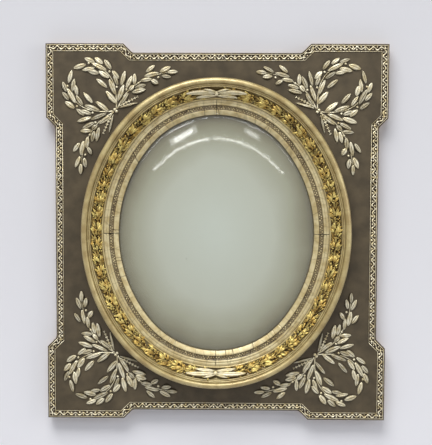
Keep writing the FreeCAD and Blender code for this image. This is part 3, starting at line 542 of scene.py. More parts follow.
def tube(path: Array, radius: Array, sides: int, flat: float = 1.0) -> Surface:
    """Round bar along a path near the plate.

    A place is the path's, plus radius times cosine along the level side vector and sine along the outward one.

    Args:
        path: Places of the centre line in mm.
        radius: Radius at each.
        sides: Places round it.
        flat: Height as a share of the radius.

    Returns:
        The closed surface.
    """
    tangent = np.gradient(path, axis=0)
    tangent /= np.linalg.norm(tangent, axis=1, keepdims=True)
    outward = np.array([0.0, -1.0, 0.0])
    level = np.cross(tangent, outward)
    level /= np.linalg.norm(level, axis=1, keepdims=True)
    turn = np.linspace(0, 2 * np.pi, sides, endpoint=False)
    side = np.cos(turn)[None, :, None] * level[:, None, :]
    rise = flat * np.sin(turn)[None, :, None] * outward
    places = path[:, None, :] + radius[:, None, None] * (side + rise)
    # Darker on the side towards the plate: painted shade under the bar.
    shade_and_toning = np.clip(0.7 - 0.9 * np.sin(turn), 0, 1)[None, :] + 0 * radius[:, None]
    return capped(places, shade_and_toning, places[..., [0, 2]])


def smooth_line(corners: Array, count: int) -> Array:
    """Line through corners, rounded by averaging: three passes of a quarter, a half and a quarter.

    Args:
        corners: Places that it passes near.
        count: Places on it.

    Returns:
        Places at equal steps of the corners' own length.
    """
    steps = np.concatenate([[0], np.cumsum(np.linalg.norm(np.diff(corners, axis=0), axis=1))])
    at = np.linspace(0, steps[-1], count)
    line = np.stack([np.interp(at, steps, corners[:, k]) for k in range(corners.shape[1])], -1)
    for _ in range(3):
        line[1:-1] = 0.25 * line[:-2] + 0.5 * line[1:-1] + 0.25 * line[2:]
    return line


def make_piece(name: str, surface: Surface, material: bpy.types.Material, nodes: list[str],
               body: str = "frame") -> bpy.types.Object:
    """Piece from a surface, riding on a body and standing for CAD nodes.

    Args:
        name: Name of the piece.
        surface: Its faces, in mm.
        material: Its finish.
        nodes: CAD nodes that it stands for.
        body: Body that it rides on.

    Returns:
        The piece.
    """
    mesh = bpy.data.meshes.new(name)
    faces = surface.quads.tolist() + surface.triangles.tolist()
    mesh.from_pydata((surface.places * MM).tolist(), [], faces)
    # The darkening that the gilt finishes read, partly painted shade.
    shade_and_toning = mesh.attributes.new("shade_and_toning", "FLOAT", "POINT")
    shade_and_toning.data.foreach_set("value", surface.shade_and_toning.astype(np.float32))
    run = mesh.attributes.new("run", "FLOAT_VECTOR", "POINT")
    flat = np.concatenate([surface.run, np.zeros((len(surface.run), 1))], 1)
    run.data.foreach_set("vector", flat.astype(np.float32).ravel())
    work = bmesh.new()
    work.from_mesh(mesh)
    bmesh.ops.recalc_face_normals(work, faces=work.faces)
    work.to_mesh(mesh)
    work.free()
    mesh.polygons.foreach_set("use_smooth", np.ones(len(mesh.polygons), dtype=bool))
    mesh.materials.append(material)
    mesh.update()
    piece = bpy.data.objects.new(name, mesh)
    bpy.context.scene.collection.objects.link(piece)
    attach(piece, body)
    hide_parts(*nodes)
    LOG.info("%s: %d faces", name, len(mesh.polygons))
    return piece


# Oval

@dataclass(frozen=True)
class Oval:
    """The joiner's four-centre oval of the sight edge, in mm."""
    half_width: float = SIGHT_HALF_WIDTH
    half_height: float = SIGHT_HALF_HEIGHT
    plate_front: float = PLATE_FRONT
    table_steps: int = 8000

    @cached_property
    def arcs(self) -> tuple[float, float, float, float, float]:
        """The arcs, as the joiner finds them.

        The corner of the half axes is joined to their ends by a diagonal. The rest is half of what the diagonal has
        over the difference of the half axes, and the arcs' centres lie on the upright through its middle.

        Returns:
            Side radius, end radius, side centre, end centre and the angle where the arcs meet.
        """
        diagonal = math.hypot(self.half_width, self.half_height)
        rest = (diagonal - self.half_height + self.half_width) / 2
        end_radius = rest * diagonal / self.half_height
        side_radius = (diagonal - rest) * diagonal / self.half_width
        side_centre, end_centre = self.half_width - side_radius, self.half_height - end_radius
        return side_radius, end_radius, side_centre, end_centre, math.atan2(end_centre, -side_centre)

    def on_side(self, bearing: Array) -> Array:
        """Whether a bearing meets one of the two long arcs."""
        return np.arctan2(np.abs(np.sin(bearing)), np.abs(np.cos(bearing))) <= self.arcs[4]

    def place(self, bearing: Array, offset: Array, rise: Array) -> Array:
        """Places in the row frame: the arc's centre plus radius and offset along the bearing.

        Args:
            bearing: Direction of the outward normal.
            offset: Outwards from the sight edge.
            rise: Forwards of the plate.

        Returns:
            Places with three numbers each.
        """
        side_radius, end_radius, side_centre, end_centre, _ = self.arcs
        side = self.on_side(bearing)
        across, up = np.cos(bearing), np.sin(bearing)
        reach = np.where(side, side_radius, end_radius) + offset
        x = np.where(side, np.sign(across) * side_centre, 0) + reach * across
        z = np.where(side, 0, np.sign(up) * end_centre) + reach * up
        return np.stack([x, -(self.plate_front + rise) + 0 * x, z], -1)

    def table(self, offset: float) -> tuple[Array, Array]:
        """Length run against bearing: the sum of radius and offset times the step of the bearing.

        Args:
            offset: Outwards from the sight edge.

        Returns:
            Bearings from the bottom round through the right, and the length run at each.
        """
        bearing = np.linspace(-np.pi / 2, 3 * np.pi / 2, self.table_steps + 1)
        radius = np.where(self.on_side(bearing), self.arcs[0], self.arcs[1]) + offset
        steps = (radius[1:] + radius[:-1]) / 2 * np.diff(bearing)
        return bearing, np.concatenate([[0], np.cumsum(steps)])

    def length(self, offset: float) -> float:
        """Length all round at an offset."""
        return float(self.table(offset)[1][-1])

    def bearing_at(self, run: Array, offset: float) -> Array:
        """Bearing after a run from the bottom, round through the right."""
        bearing, length = self.table(offset)
        return np.interp(np.mod(run, length[-1]), length, bearing)


def arc_corners(centre: float, base: float, half: float, crest: float, count: int, outer: float = 0.0) -> Array:
    """Half-round bead: centre minus half width times cosine, base plus crest times sine.

    Args:
        centre: Offset of its crest.
        base: Rise of its two edges.
        half: Half width, or that of the inner half where an outer one is given.
        crest: Height over the edges.
        count: Number of corners.
        outer: Width of the outer half.

    Returns:
        Offset and rise of each corner.
    """
    turn = np.linspace(0, np.pi, count)
    wide = np.where(np.cos(turn) >= 0, half, outer or half)
    return np.stack([centre - wide * np.cos(turn), base + crest * np.sin(turn)], -1)


def swept(oval: Oval, profile: Array, shade_and_toning: Array, run: Array, closed: bool, sink: Array) -> Surface:
    """Closed profile carried along the oval.

    A place is the oval's at that run, with the profile's offset and its rise less the sink.

    Args:
        oval: Path.
        profile: Offset and rise of each corner.
        shade_and_toning: How dark each corner is: toning and painted shade.
        run: Lengths along the sight edge where it is closed, and bearings where it isn't.
        closed: The last run joins the first.
        sink: Run by corner, taken off the rise, and nine tenths of it, up to 0.95, added to the darkening.

    Returns:
        The surface, with capped ends if it isn't closed.
    """
    bearing = oval.bearing_at(run, 0.0)[:, None] if closed else run[:, None]
    lengths = run if closed else np.interp(run, *oval.table(0.0))
    places = oval.place(bearing, profile[None, :, 0], profile[None, :, 1] - np.maximum(sink, 0))
    # Where the face sinks it is darker too: the slip's cracks and the moulding's low waves.
    deep = np.clip(shade_and_toning[None, :] + np.minimum(sink * 0.9, 0.95), 0, 1)
    along = np.stack([lengths[:, None] + 0 * deep, profile[None, :, 0] + 0 * deep], -1)
    if closed:
        quads = grid_quads(len(run), len(profile), True, True)
        return Surface(places.reshape(-1, 3), quads, np.empty((0, 3), int), deep.ravel(), along.reshape(-1, 2))
    return capped(places, deep, along)


@dataclass
class Moulding:
    """The oval moulding: inner bead, cove, outer bead and rim roll, as one profile carried round."""
    oval: Oval
    steps: int = 900
    swell: float = 0.06
    swells: int = 37
    swell_twist: float = 0.21
    foot: float = 3.0

    def profile(self) -> tuple[Array, Array]:
        """The section, from the slip outwards.

        Returns:
            Offset and rise of each corner, and how dark each is: toning and painted shade.
        """
        share = np.linspace(0, 1, 14)
        roll = arc_corners(58.2, 22.2, 4.4, 6.8, 25, 6.6)
        # Darker on the roll's inner flank and at its outer edge: painted shade where the roll turns from the light,
        # and a thin toned line.
        roll_shade_and_toning = np.interp(
            np.arange(len(roll)), [0, 2, 6, 12, 18, 19, 20, 23, 24],
            [0.55, 0.25, 0.05, 0, 0, 0.25, 0.03, 0.1, 0.3])
        cove = np.stack([30.9 + 17.4 * share, 11.0 + 10.6 * share - 2.2 * np.sin(np.pi * share)], -1)
        # The walls down to the plate beside the slip and outside the roll are darker as painted shade; the cove is
        # darker too, partly toning and partly painted shade.
        parts = [
            (np.array([[26.5, 0.0], [26.5, 10.6]]), [0.8, 0.45]),
            (arc_corners(28.5, 11.2, 1.9, 2.3, 9), [0.4, 0.2, 0, 0, 0, 0, 0.1, 0.3, 0.5]),
            (cove, np.interp(share, [0, 0.1, 0.5, 0.75, 1], [0.55, 0.6, 0.65, 0.45, 0.35])),
            (arc_corners(49.6, 21.9, 1.3, 1.6, 7), [0.35, 0.1, 0, 0, 0, 0.1, 0.35]),
            (np.array([[51.2, 22.2], [51.6, 22.9], [53.4, 23.6], [53.6, 23.2]]), [0.5, 0.1, 0.05, 0.5]),
            (roll, roll_shade_and_toning),
            (np.array([[64.2, 19.0], [63.2, 9.0], [62.0, 0.0]]), [0.5, 0.75, 1.0]),
        ]
        return np.concatenate([p for p, _ in parts]), np.concatenate([np.array(r, float) for _, r in parts])

    def build(self) -> None:
        """Makes the moulding, with the low waves that hand work leaves above its foot.

        A wave takes off its height times 1 plus the sine of 37 turns round the oval, twisted across the section.
        """
        corners, shade_and_toning = self.profile()
        total = self.oval.length(0.0)
        run = np.linspace(0, total, self.steps, endpoint=False)
        phase = 2 * np.pi * run[:, None] / total
        wave = 1 + np.sin(self.swells * phase + self.swell_twist * corners[None, :, 0])
        sink = self.swell * wave * (corners[None, :, 1] > self.foot)
        surface = swept(self.oval, corners, shade_and_toning, run, True, sink)
        make_piece("moulding", surface, MOULDING_GILT.material(), ["oval_moulding"])


@dataclass
class Slip:
    """The gilt slip in four quarters: sight band, beaded groove and a split outer band."""
    oval: Oval
    bead_pitch: float = 2.3
    bead_radius: float = 1.45
    bead_row: float = 1.35
    bead_drift: float = 0.35
    groove: float = 13.0
    groove_floor: float = 5.2
    joint: float = 0.5
    mean_radius: float = 200.0
    steps: int = 420
    cracks: int = 7
    crack_lean: float = 0.0012
    crack_width: float = 0.0034
    band_end: float = 9.2
    foot: float = 3.0

    def profile(self) -> tuple[Array, Array]:
        """The section, from the sight edge outwards.

        Returns:
            Offset and rise of each corner, and how dark each is: toning and painted shade.
        """
        # Third column: how dark each corner is. The groove is darker from toning and painted shade, the split in the
        # outer band is toned, and the walls down to the sight edge and the foot are darker as painted shade.
        table = [
            (0.0, 0.0, 1.0), (0.0, 2.4, 0.9), (0.4, 3.2, 0.3), (1.4, 3.9, 0.05), (3.8, 5.2, 0.0), (6.2, 6.4, 0.0),
            (8.1, 7.2, 0.05), (9.0, 7.0, 0.45), (9.4, 5.8, 0.7), (10.6, 5.1, 0.7), (15.4, 5.2, 0.7),
            (16.7, 5.9, 0.7), (17.1, 7.2, 0.4), (17.9, 8.0, 0.15), (19.2, 8.4, 0.0), (20.6, 8.3, 0.1),
            (21.2, 7.8, 0.5), (21.8, 8.3, 0.15), (23.2, 8.8, 0.0), (24.8, 8.8, 0.05), (25.6, 8.8, 0.15),
            (26.1, 8.9, 0.3), (26.4, 8.9, 0.4), (26.4, 0.0, 1.0),
        ]
        values = np.array(table)
        return values[:, :2], values[:, 2]

    def beads(self, start: float, end: float, seed: int) -> Surface:
        """Small worn beads in two rows in the groove, from one bearing to another.

        Args:
            start: First bearing.
            end: Last bearing.
            seed: Start of the random draws.

        Returns:
            The beads.
        """
        draw = np.random.default_rng(seed)
        first, last = np.interp([start, end], *self.oval.table(self.groove))
        count = int((last - first) / self.bead_pitch)
        order = np.arange(count)
        at = first + (order + 0.5) * (last - first) / count + draw.normal(0, self.bead_drift, count)
        size = self.bead_radius * draw.uniform(0.35, 1.15, count)
        row = np.where(order % 2, self.bead_row, -self.bead_row)
        aside = self.groove + row + draw.normal(0, self.bead_drift, count)
        local, whole = repeated(berry_form(), count)
        bearing = self.oval.bearing_at(at[:, None] + local[..., 0] * size[:, None], self.groove)
        offset = aside[:, None] + local[..., 1] * size[:, None]
        rise = self.groove_floor + local[..., 2] * size[:, None]
        whole.places = self.oval.place(bearing, offset, rise).reshape(-1, 3)
        whole.tone(np.repeat(draw.uniform(-0.7, 0.5, count), local.shape[1]))
        return whole

    def build(self) -> None:
        """Makes the four quarters, open by a hair at their joints and cracked across the sight band.

        A crack sinks the band by its depth times exp(-(distance over its width) squared), distances being bearings.
        """
        corners, shade_and_toning = self.profile()
        finish = SLIP_GILT.material()
        names = ["slip_lower_right", "slip_upper_right", "slip_upper_left", "slip_lower_left"]
        for quarter, name in enumerate(names):
            draw = np.random.default_rng(20 + quarter)
            gap = self.joint / self.mean_radius
            start, end = (quarter - 1) * np.pi / 2 + gap, quarter * np.pi / 2 - gap
            bearing = np.linspace(start, end, self.steps)
            cracks = draw.uniform(start, end, self.cracks)
            depth = draw.uniform(0.4, 1.0, self.cracks)
            lean = draw.normal(0, self.crack_lean, self.cracks)
            line = cracks[None, None, :] + lean[None, None, :] * corners[None, :, None, 0]
            near = np.exp(-((bearing[:, None, None] - line) / self.crack_width) ** 2)
            band = (corners[:, 0] < self.band_end) & (corners[:, 1] > self.foot)
            sink = (near * depth).max(-1) * band[None, :]
            parts = [swept(self.oval, corners, shade_and_toning, bearing, False, sink), self.beads(start, end, 40 + quarter)]
            make_piece(name + "_surface", joined(parts), finish, [name])


# Leaves of a bunch in mm: turn in radians, across, length, half width and height over the cove.
BUNCH_LEAVES = (
    (0.05, 0.0, 12.0, 2.7, 2.0), (0.4, 2.4, 11.0, 2.5, 1.4), (-0.4, -2.4, 11.0, 2.5, 1.4),
    (0.6, 4.6, 9.5, 2.2, 0.7), (-0.6, -4.6, 9.5, 2.2, 0.7), (0.2, 6.8, 8.0, 1.8, 0.2), (-0.2, -6.6, 8.0, 1.8, 0.2),
)
# Its berries: across and ahead.
BUNCH_BERRIES = ((3.2, 3.0), (-3.4, 3.4), (0.8, 0.6), (6.2, 2.5), (-6.0, 1.0), (7.6, 5.0), (-7.4, 4.0))
# Leaves of a tie: turn, across, length and half width.
TIE_LEAVES = ((0.13, 0.8, 54.0, 5.6), (-0.02, -3.4, 38.0, 4.4), (0.3, 3.6, 22.0, 2.6))


@dataclass
class Garland:
    """Leaf and berry garland along the cove, in two halves, and the crossed leaves at top and bottom."""
    oval: Oval
    middle: float = 39.4
    floor: float = 14.4
    slope: float = math.radians(30.0)
    pitch: float = 6.6
    bunch: float = 27.0
    clear: float = 15.0
    berry: float = 1.4
    tie_rise: float = 5.0
    tie_height: float = 3.2

    def laid(self, run: Array, across: Array, up: Array) -> Array:
        """Places on the cove's slope.

        Offset is the middle plus across along the slope less up along its normal, and rise is worked out likewise.

        Args:
            run: Length along the middle of the garland.
            across: Outwards along the slope.
            up: Away from the slope.

        Returns:
            Places in the row frame.
        """
        lean, lift = math.sin(self.slope), math.cos(self.slope)
        offset = self.middle + across * lift - up * lean
        rise = self.floor + across * lean + up * lift
        return self.oval.place(self.oval.bearing_at(run, self.middle), offset, rise)

    def strewn(self, form: Surface, table: Array, tones: Array) -> Surface:
        """Copies of a form on the cove.

        Args:
            form: Leaf or berry.
            table: Run, across, up, length, half width, height and turn of each.
            tones: Tone of each, added to its darkening.

        Returns:
            All the copies.
        """
        local, whole = repeated(form, len(table))
        run, across, up, length, half, height, turn = (table[:, k, None] for k in range(7))
        x, y = local[..., 0] * length, local[..., 1] * half
        along = run + x * np.cos(turn) - y * np.sin(turn)
        aside = across + x * np.sin(turn) + y * np.cos(turn)
        whole.places = self.laid(along, aside, up + local[..., 2] * height).reshape(-1, 3)
        whole.tone(np.repeat(tones, len(form.places)))
        return whole

    def half(self, name: str, first: float, last: float, seed: int, finish: bpy.types.Material) -> None:
        """One half of the garland, running up from the bottom.

        How full it is swells and thins by a cosine along it, with a drift so that no two bunches are alike.

        Args:
            name: CAD node that it stands for.
            first: Run where it starts.
            last: Run where it ends.
            seed: Start of the random draws.
            finish: Its material.
        """
        draw = np.random.default_rng(seed)
        count = int(abs(last - first) / self.pitch)
        way = math.copysign(1.0, last - first)
        at = first + way * (np.arange(count) + 0.2) * abs(last - first) / count
        drift = 0.9 * np.sin((at - first) / 61.0) + 0.6 * np.sin((at - first) / 23.0)
        full = 0.5 + 0.5 * np.cos(2 * np.pi * (at - first) / self.bunch + drift)
        leaves, leaf_tones = [], []
        for turn, across, size, half, up in BUNCH_LEAVES:
            jitter = draw.normal(0, 1, (count, 4))
            angle = (turn + 0.3 * jitter[:, 0]) * way + (np.pi if way < 0 else 0)
            leaves.append(np.stack([
                at + way * jitter[:, 1], across * (0.7 + 0.35 * full) + 0.5 * jitter[:, 2], up + 1.6 * full,
                size * (1 + 0.06 * jitter[:, 3]), half * (0.75 + 0.45 * full), 2.2 + 1.6 * full, angle], -1))
            # Leaves are darker where the garland is thin, and vary at random; this adds to the darkening, which is
            # partly painted shade.
            leaf_tones.append(0.5 - 0.55 * full + draw.normal(0, 0.2, count))
        berries, berry_tones = [], []
        for across, ahead in BUNCH_BERRIES:
            radius = self.berry * draw.uniform(0.6, 1.2, count)
            berries.append(np.stack([
                at + way * ahead + draw.normal(0, 0.6, count), across + draw.normal(0, 0.5, count),
                2.6 + 1.6 * full, radius, radius, radius, np.zeros(count)], -1))
            # Berries likewise: darker where the garland is thin, and random.
            berry_tones.append(0.3 - 0.45 * full + draw.normal(0, 0.25, count))
        parts = [
            self.strewn(leaf_form(), np.concatenate(leaves), np.concatenate(leaf_tones)),
            self.strewn(berry_form(), np.concatenate(berries), np.concatenate(berry_tones)),
        ]
        make_piece(name + "_leaves", joined(parts), finish, [name])

    def tie(self, name: str, run: float, finish: bpy.types.Material) -> None:
        """Long crossed leaves over the meeting of the two halves.

        Args:
            name: CAD node that they stand for.
            run: Run of the meeting.
            finish: Their material.
        """
        rows = []
        for turn, across, length, half in TIE_LEAVES:
            for angle in (turn, np.pi - turn):
                rows.append([run, across, self.tie_rise, length, half, self.tie_height, angle])
        knob = np.array([[run, 0.2, self.tie_rise, 4.0, 4.6, 2.4, 0.0]])
        parts = [self.strewn(leaf_form(), np.array(rows), np.zeros(len(rows))),
                 self.strewn(berry_form(), knob, np.zeros(1))]
        make_piece(name + "_leaves", joined(parts), finish, [name])

    def build(self) -> None:
        """Makes both halves and both ties."""
        gold, pale = GARLAND_GILT.material(), TIE_GILT.material()
        total = self.oval.length(self.middle)
        self.half("garland_right", self.clear, total / 2 - self.clear, 60, gold)
        self.half("garland_left", total - self.clear, total / 2 + self.clear, 61, gold)
        self.tie("garland_top_tie", total / 2, pale)
        self.tie("garland_bottom_tie", 0.0, pale)


# Leaves of a spray: base and tip as (right, up) from the knot. They were measured on the photograph for one spray,
# in steps of 1.77 mm. Its berries, stems and catkin are placed in the same steps.
WREATH_LEAVES = [
    (1.0, 6.4, -9.2, 18.5), (0.0, 15.1, -6.4, 29.9), (-8.0, 22.3, -18.6, 30.7), (2.4, 24.3, -1.6, 34.7),
    (3.6, 31.1, -3.2, 38.7), (-6.0, 31.9, -16.3, 38.3), (-4.0, 40.3, -10.8, 49.4), (-8.4, 39.1, -23.5, 46.6),
    (-12.4, 45.4, -20.3, 51.6), (-16.3, 36.7, -26.7, 38.7), (-20.3, 41.9, -32.7, 39.5),
    (-20.3, 47.4, -30.3, 51.0), (-29.1, 45.4, -41.1, 41.5),
]
OUTER_LEAVES = [
    (2.0, 8.8, 7.6, 24.7), (4.8, 5.6, 12.0, 16.7), (5.6, 23.9, 9.2, 38.3), (10.4, 21.5, 15.9, 33.5),
    (18.7, 24.7, 18.7, 35.9), (15.5, 17.5, 29.1, 20.7), (13.2, 19.1, 17.9, 24.7), (18.7, 22.3, 29.5, 25.5),
    (24.3, 29.5, 35.5, 31.1), (27.9, 33.5, 41.9, 37.1), (29.9, 37.5, 38.3, 44.2), (34.7, 30.3, 41.9, 26.3),
    (43.4, 37.5, 53.8, 43.0), (45.0, 34.3, 54.6, 33.1), (50.6, 37.5, 61.0, 38.3),
]
SLENDER_LEAF = (2.8, 2.4, 21.1, 7.6)
SPRAY_BERRIES = [(-6.0, 38.3), (-26.5, 46.4), (1.2, 23.1), (10.8, 20.7), (22.7, 27.1), (42.3, 32.7)]
WREATH_STEM = [(0.6, 1.8), (0.8, 9.0), (0.2, 18.0), (-2.2, 28.0), (-7.5, 36.5), (-15.0, 42.0), (-23.0, 44.4)]
OUTER_STEM = [
    (1.6, 1.8), (5.0, 9.0), (10.0, 17.0), (17.0, 23.5), (26.0, 29.5), (36.0, 34.0), (46.0, 36.6), (52.0, 37.6),
]
CATKIN = [(3.6, 4.4), (21.9, 13.6)]


@dataclass
class Laurel:
    """Cast laurel in a corner: two sprays that cross at a knot."""
    grid: float = 1.77
    knot_x: float = 177.1
    knot_z: float = 215.9
    front: float = PLATE_FRONT
    low_turn: float = math.radians(3.0)
    leaf_half: float = 5.7
    leaf_height: float = 3.8
    leaf_overlap: float = 1.06
    stem_radii: tuple[float, float] = (1.25, 0.5)
    stem_rise: float = 0.9
    stem_steps: int = 30
    berry: float = 2.3
    knob: float = 3.1

    def placed(self, points: Array, side: float, level: float, low: bool) -> Array:
        """Places on the plate of points of the spray's grid.

        The high spray uses (right, up), and the low one is its mirror image, (-up, -right), turned by the low turn.

        Args:
            points: Points by two.
            side: 1 for the right corners and -1 for the left.
            level: 1 for the upper corners and -1 for the lower.
            low: The low spray.

        Returns:
            Places by two, x and z.
        """
        right, up = points[..., 0], points[..., 1]
        if low:
            right, up = -up, -right
            lean, keep = math.sin(self.low_turn), math.cos(self.low_turn)
            right, up = right * keep - up * lean, right * lean + up * keep
        x = -side * (right * self.grid - self.knot_x)
        z = level * (self.knot_z + up * self.grid)
        return np.stack([x, z], -1)

    def leaves(self, side: float, level: float, low: bool, draw: np.random.Generator) -> Surface:
        """All the leaves of a spray.

        Each lies from its base to its tip, rolled a little about that line and lifted towards its tip.

        Args:
            side: 1 for the right corners and -1 for the left.
            level: 1 for the upper corners and -1 for the lower.
            low: The low spray.
            draw: Random draws.

        Returns:
            The leaves.
        """
        table = np.array(WREATH_LEAVES + OUTER_LEAVES + [SLENDER_LEAF])
        base = self.placed(table[:, :2], side, level, low)
        tip = self.placed(table[:, 2:], side, level, low)
        way = tip - base
        length = np.linalg.norm(way, axis=1, keepdims=True)
        way /= length
        square = np.stack([-way[:, 1], way[:, 0]], -1)
        half = self.leaf_half * draw.uniform(0.85, 1.12, (len(table), 1))
        half[-1] = self.leaf_half * 0.5
        roll = draw.normal(0, 0.16, (len(table), 1))
        lift = draw.uniform(0.0, 0.5, (len(table), 1))
        local, whole = repeated(leaf_form(), len(table))
        along = local[..., 0] * length * self.leaf_overlap
        across, up = local[..., 1] * half, local[..., 2] * self.leaf_height
        flat = across * np.cos(roll) - up * np.sin(roll)
        high = up * np.cos(roll) + across * np.sin(roll) + lift * local[..., 0]
        level_places = base[:, None, :] + along[..., None] * way[:, None, :] + flat[..., None] * square[:, None, :]
        depth = -(self.front + np.clip(high, -0.4, 5.0))
        whole.places = np.stack([level_places[..., 0], depth, level_places[..., 1]], -1).reshape(-1, 3)
        whole.tone(np.repeat(draw.uniform(-0.15, 0.3, len(table)), local.shape[1]))
        return whole

    def stem(self, points: list[tuple[float, float]], side: float, level: float, low: bool) -> Surface:
        """A stem that thins evenly towards its end.

        Args:
            points: What it passes near, as (right, up) from the knot.
            side: 1 for the right corners and -1 for the left.
            level: 1 for the upper corners and -1 for the lower.
            low: The low spray.

        Returns:
            The stem.
        """
        line = smooth_line(self.placed(np.array(points), side, level, low), self.stem_steps)
        depth = np.full(self.stem_steps, -self.front - self.stem_rise)
        path = np.stack([line[:, 0], depth, line[:, 1]], -1)
        return tube(path, np.linspace(*self.stem_radii, self.stem_steps), 7)

    def balls(self, points: Array, radius: Array, side: float, level: float, low: bool) -> Surface:
        """Berries, knobs or the beads of a catkin, sunk a little into the plate.

        Args:
            points: Their middles, as (right, up) from the knot.
            radius: Radius of each in mm.
            side: 1 for the right corners and -1 for the left.
            level: 1 for the upper corners and -1 for the lower.
            low: The low spray.

        Returns:
            The balls.
        """
        spots = self.placed(points, side, level, low)
        local, whole = repeated(berry_form(), len(points))
        x = spots[:, None, 0] + local[..., 0] * radius[:, None]
        z = spots[:, None, 1] + local[..., 1] * radius[:, None]
        y = -(self.front + radius[:, None] * (0.55 + local[..., 2]))
        whole.places = np.stack([x, y, z], -1).reshape(-1, 3)
        return whole

    def catkin(self) -> tuple[Array, Array]:
        """The paired beads of the catkin, smaller and closer towards its tip.

        Returns:
            Their middles, as (right, up) from the knot, and their radii in mm.
        """
        start, end = np.array(CATKIN)
        share = np.linspace(0.22, 1.0, 6)[:, None]
        middle = start + (end - start) * share
        square = np.array([-(end - start)[1], (end - start)[0]]) / np.linalg.norm(end - start)
        gap = 0.95 * (1.15 - 0.5 * share)
        points = np.concatenate([middle + square * gap, middle - square * gap])
        return points, np.tile(1.75 - 0.7 * share[:, 0], 2)

    def build(self) -> None:
        """Makes the four corners."""
        finish = LAUREL_GILT.material()
        catkin_points, catkin_radii = self.catkin()
        berries = np.array(SPRAY_BERRIES)
        for level, tier in ((1, "upper"), (-1, "lower")):
            for side, hand in ((1, "right"), (-1, "left")):
                for low, which in ((False, "high"), (True, "low")):
                    draw = np.random.default_rng(100 + 4 * (level > 0) + 2 * (side > 0) + low)
                    parts = [
                        self.leaves(side, level, low, draw),
                        self.stem(WREATH_STEM, side, level, low),
                        self.stem(OUTER_STEM, side, level, low),
                        self.stem(CATKIN, side, level, low),
                        self.balls(berries, np.full(len(berries), self.berry), side, level, low),
                        self.balls(catkin_points, catkin_radii, side, level, low),
                    ]
                    node = f"laurel_{tier}_{hand}_{which}_spray"
                    make_piece(node + "_leaves", joined(parts), finish, [node])
                knobs = np.array([(-0.9, 0.9), (0.9, -0.9)])
                knot = self.balls(knobs, np.full(2, self.knob), side, level, False)
                node = f"laurel_{tier}_{hand}_knot"
                make_piece(node + "_knobs", knot, finish, [node])


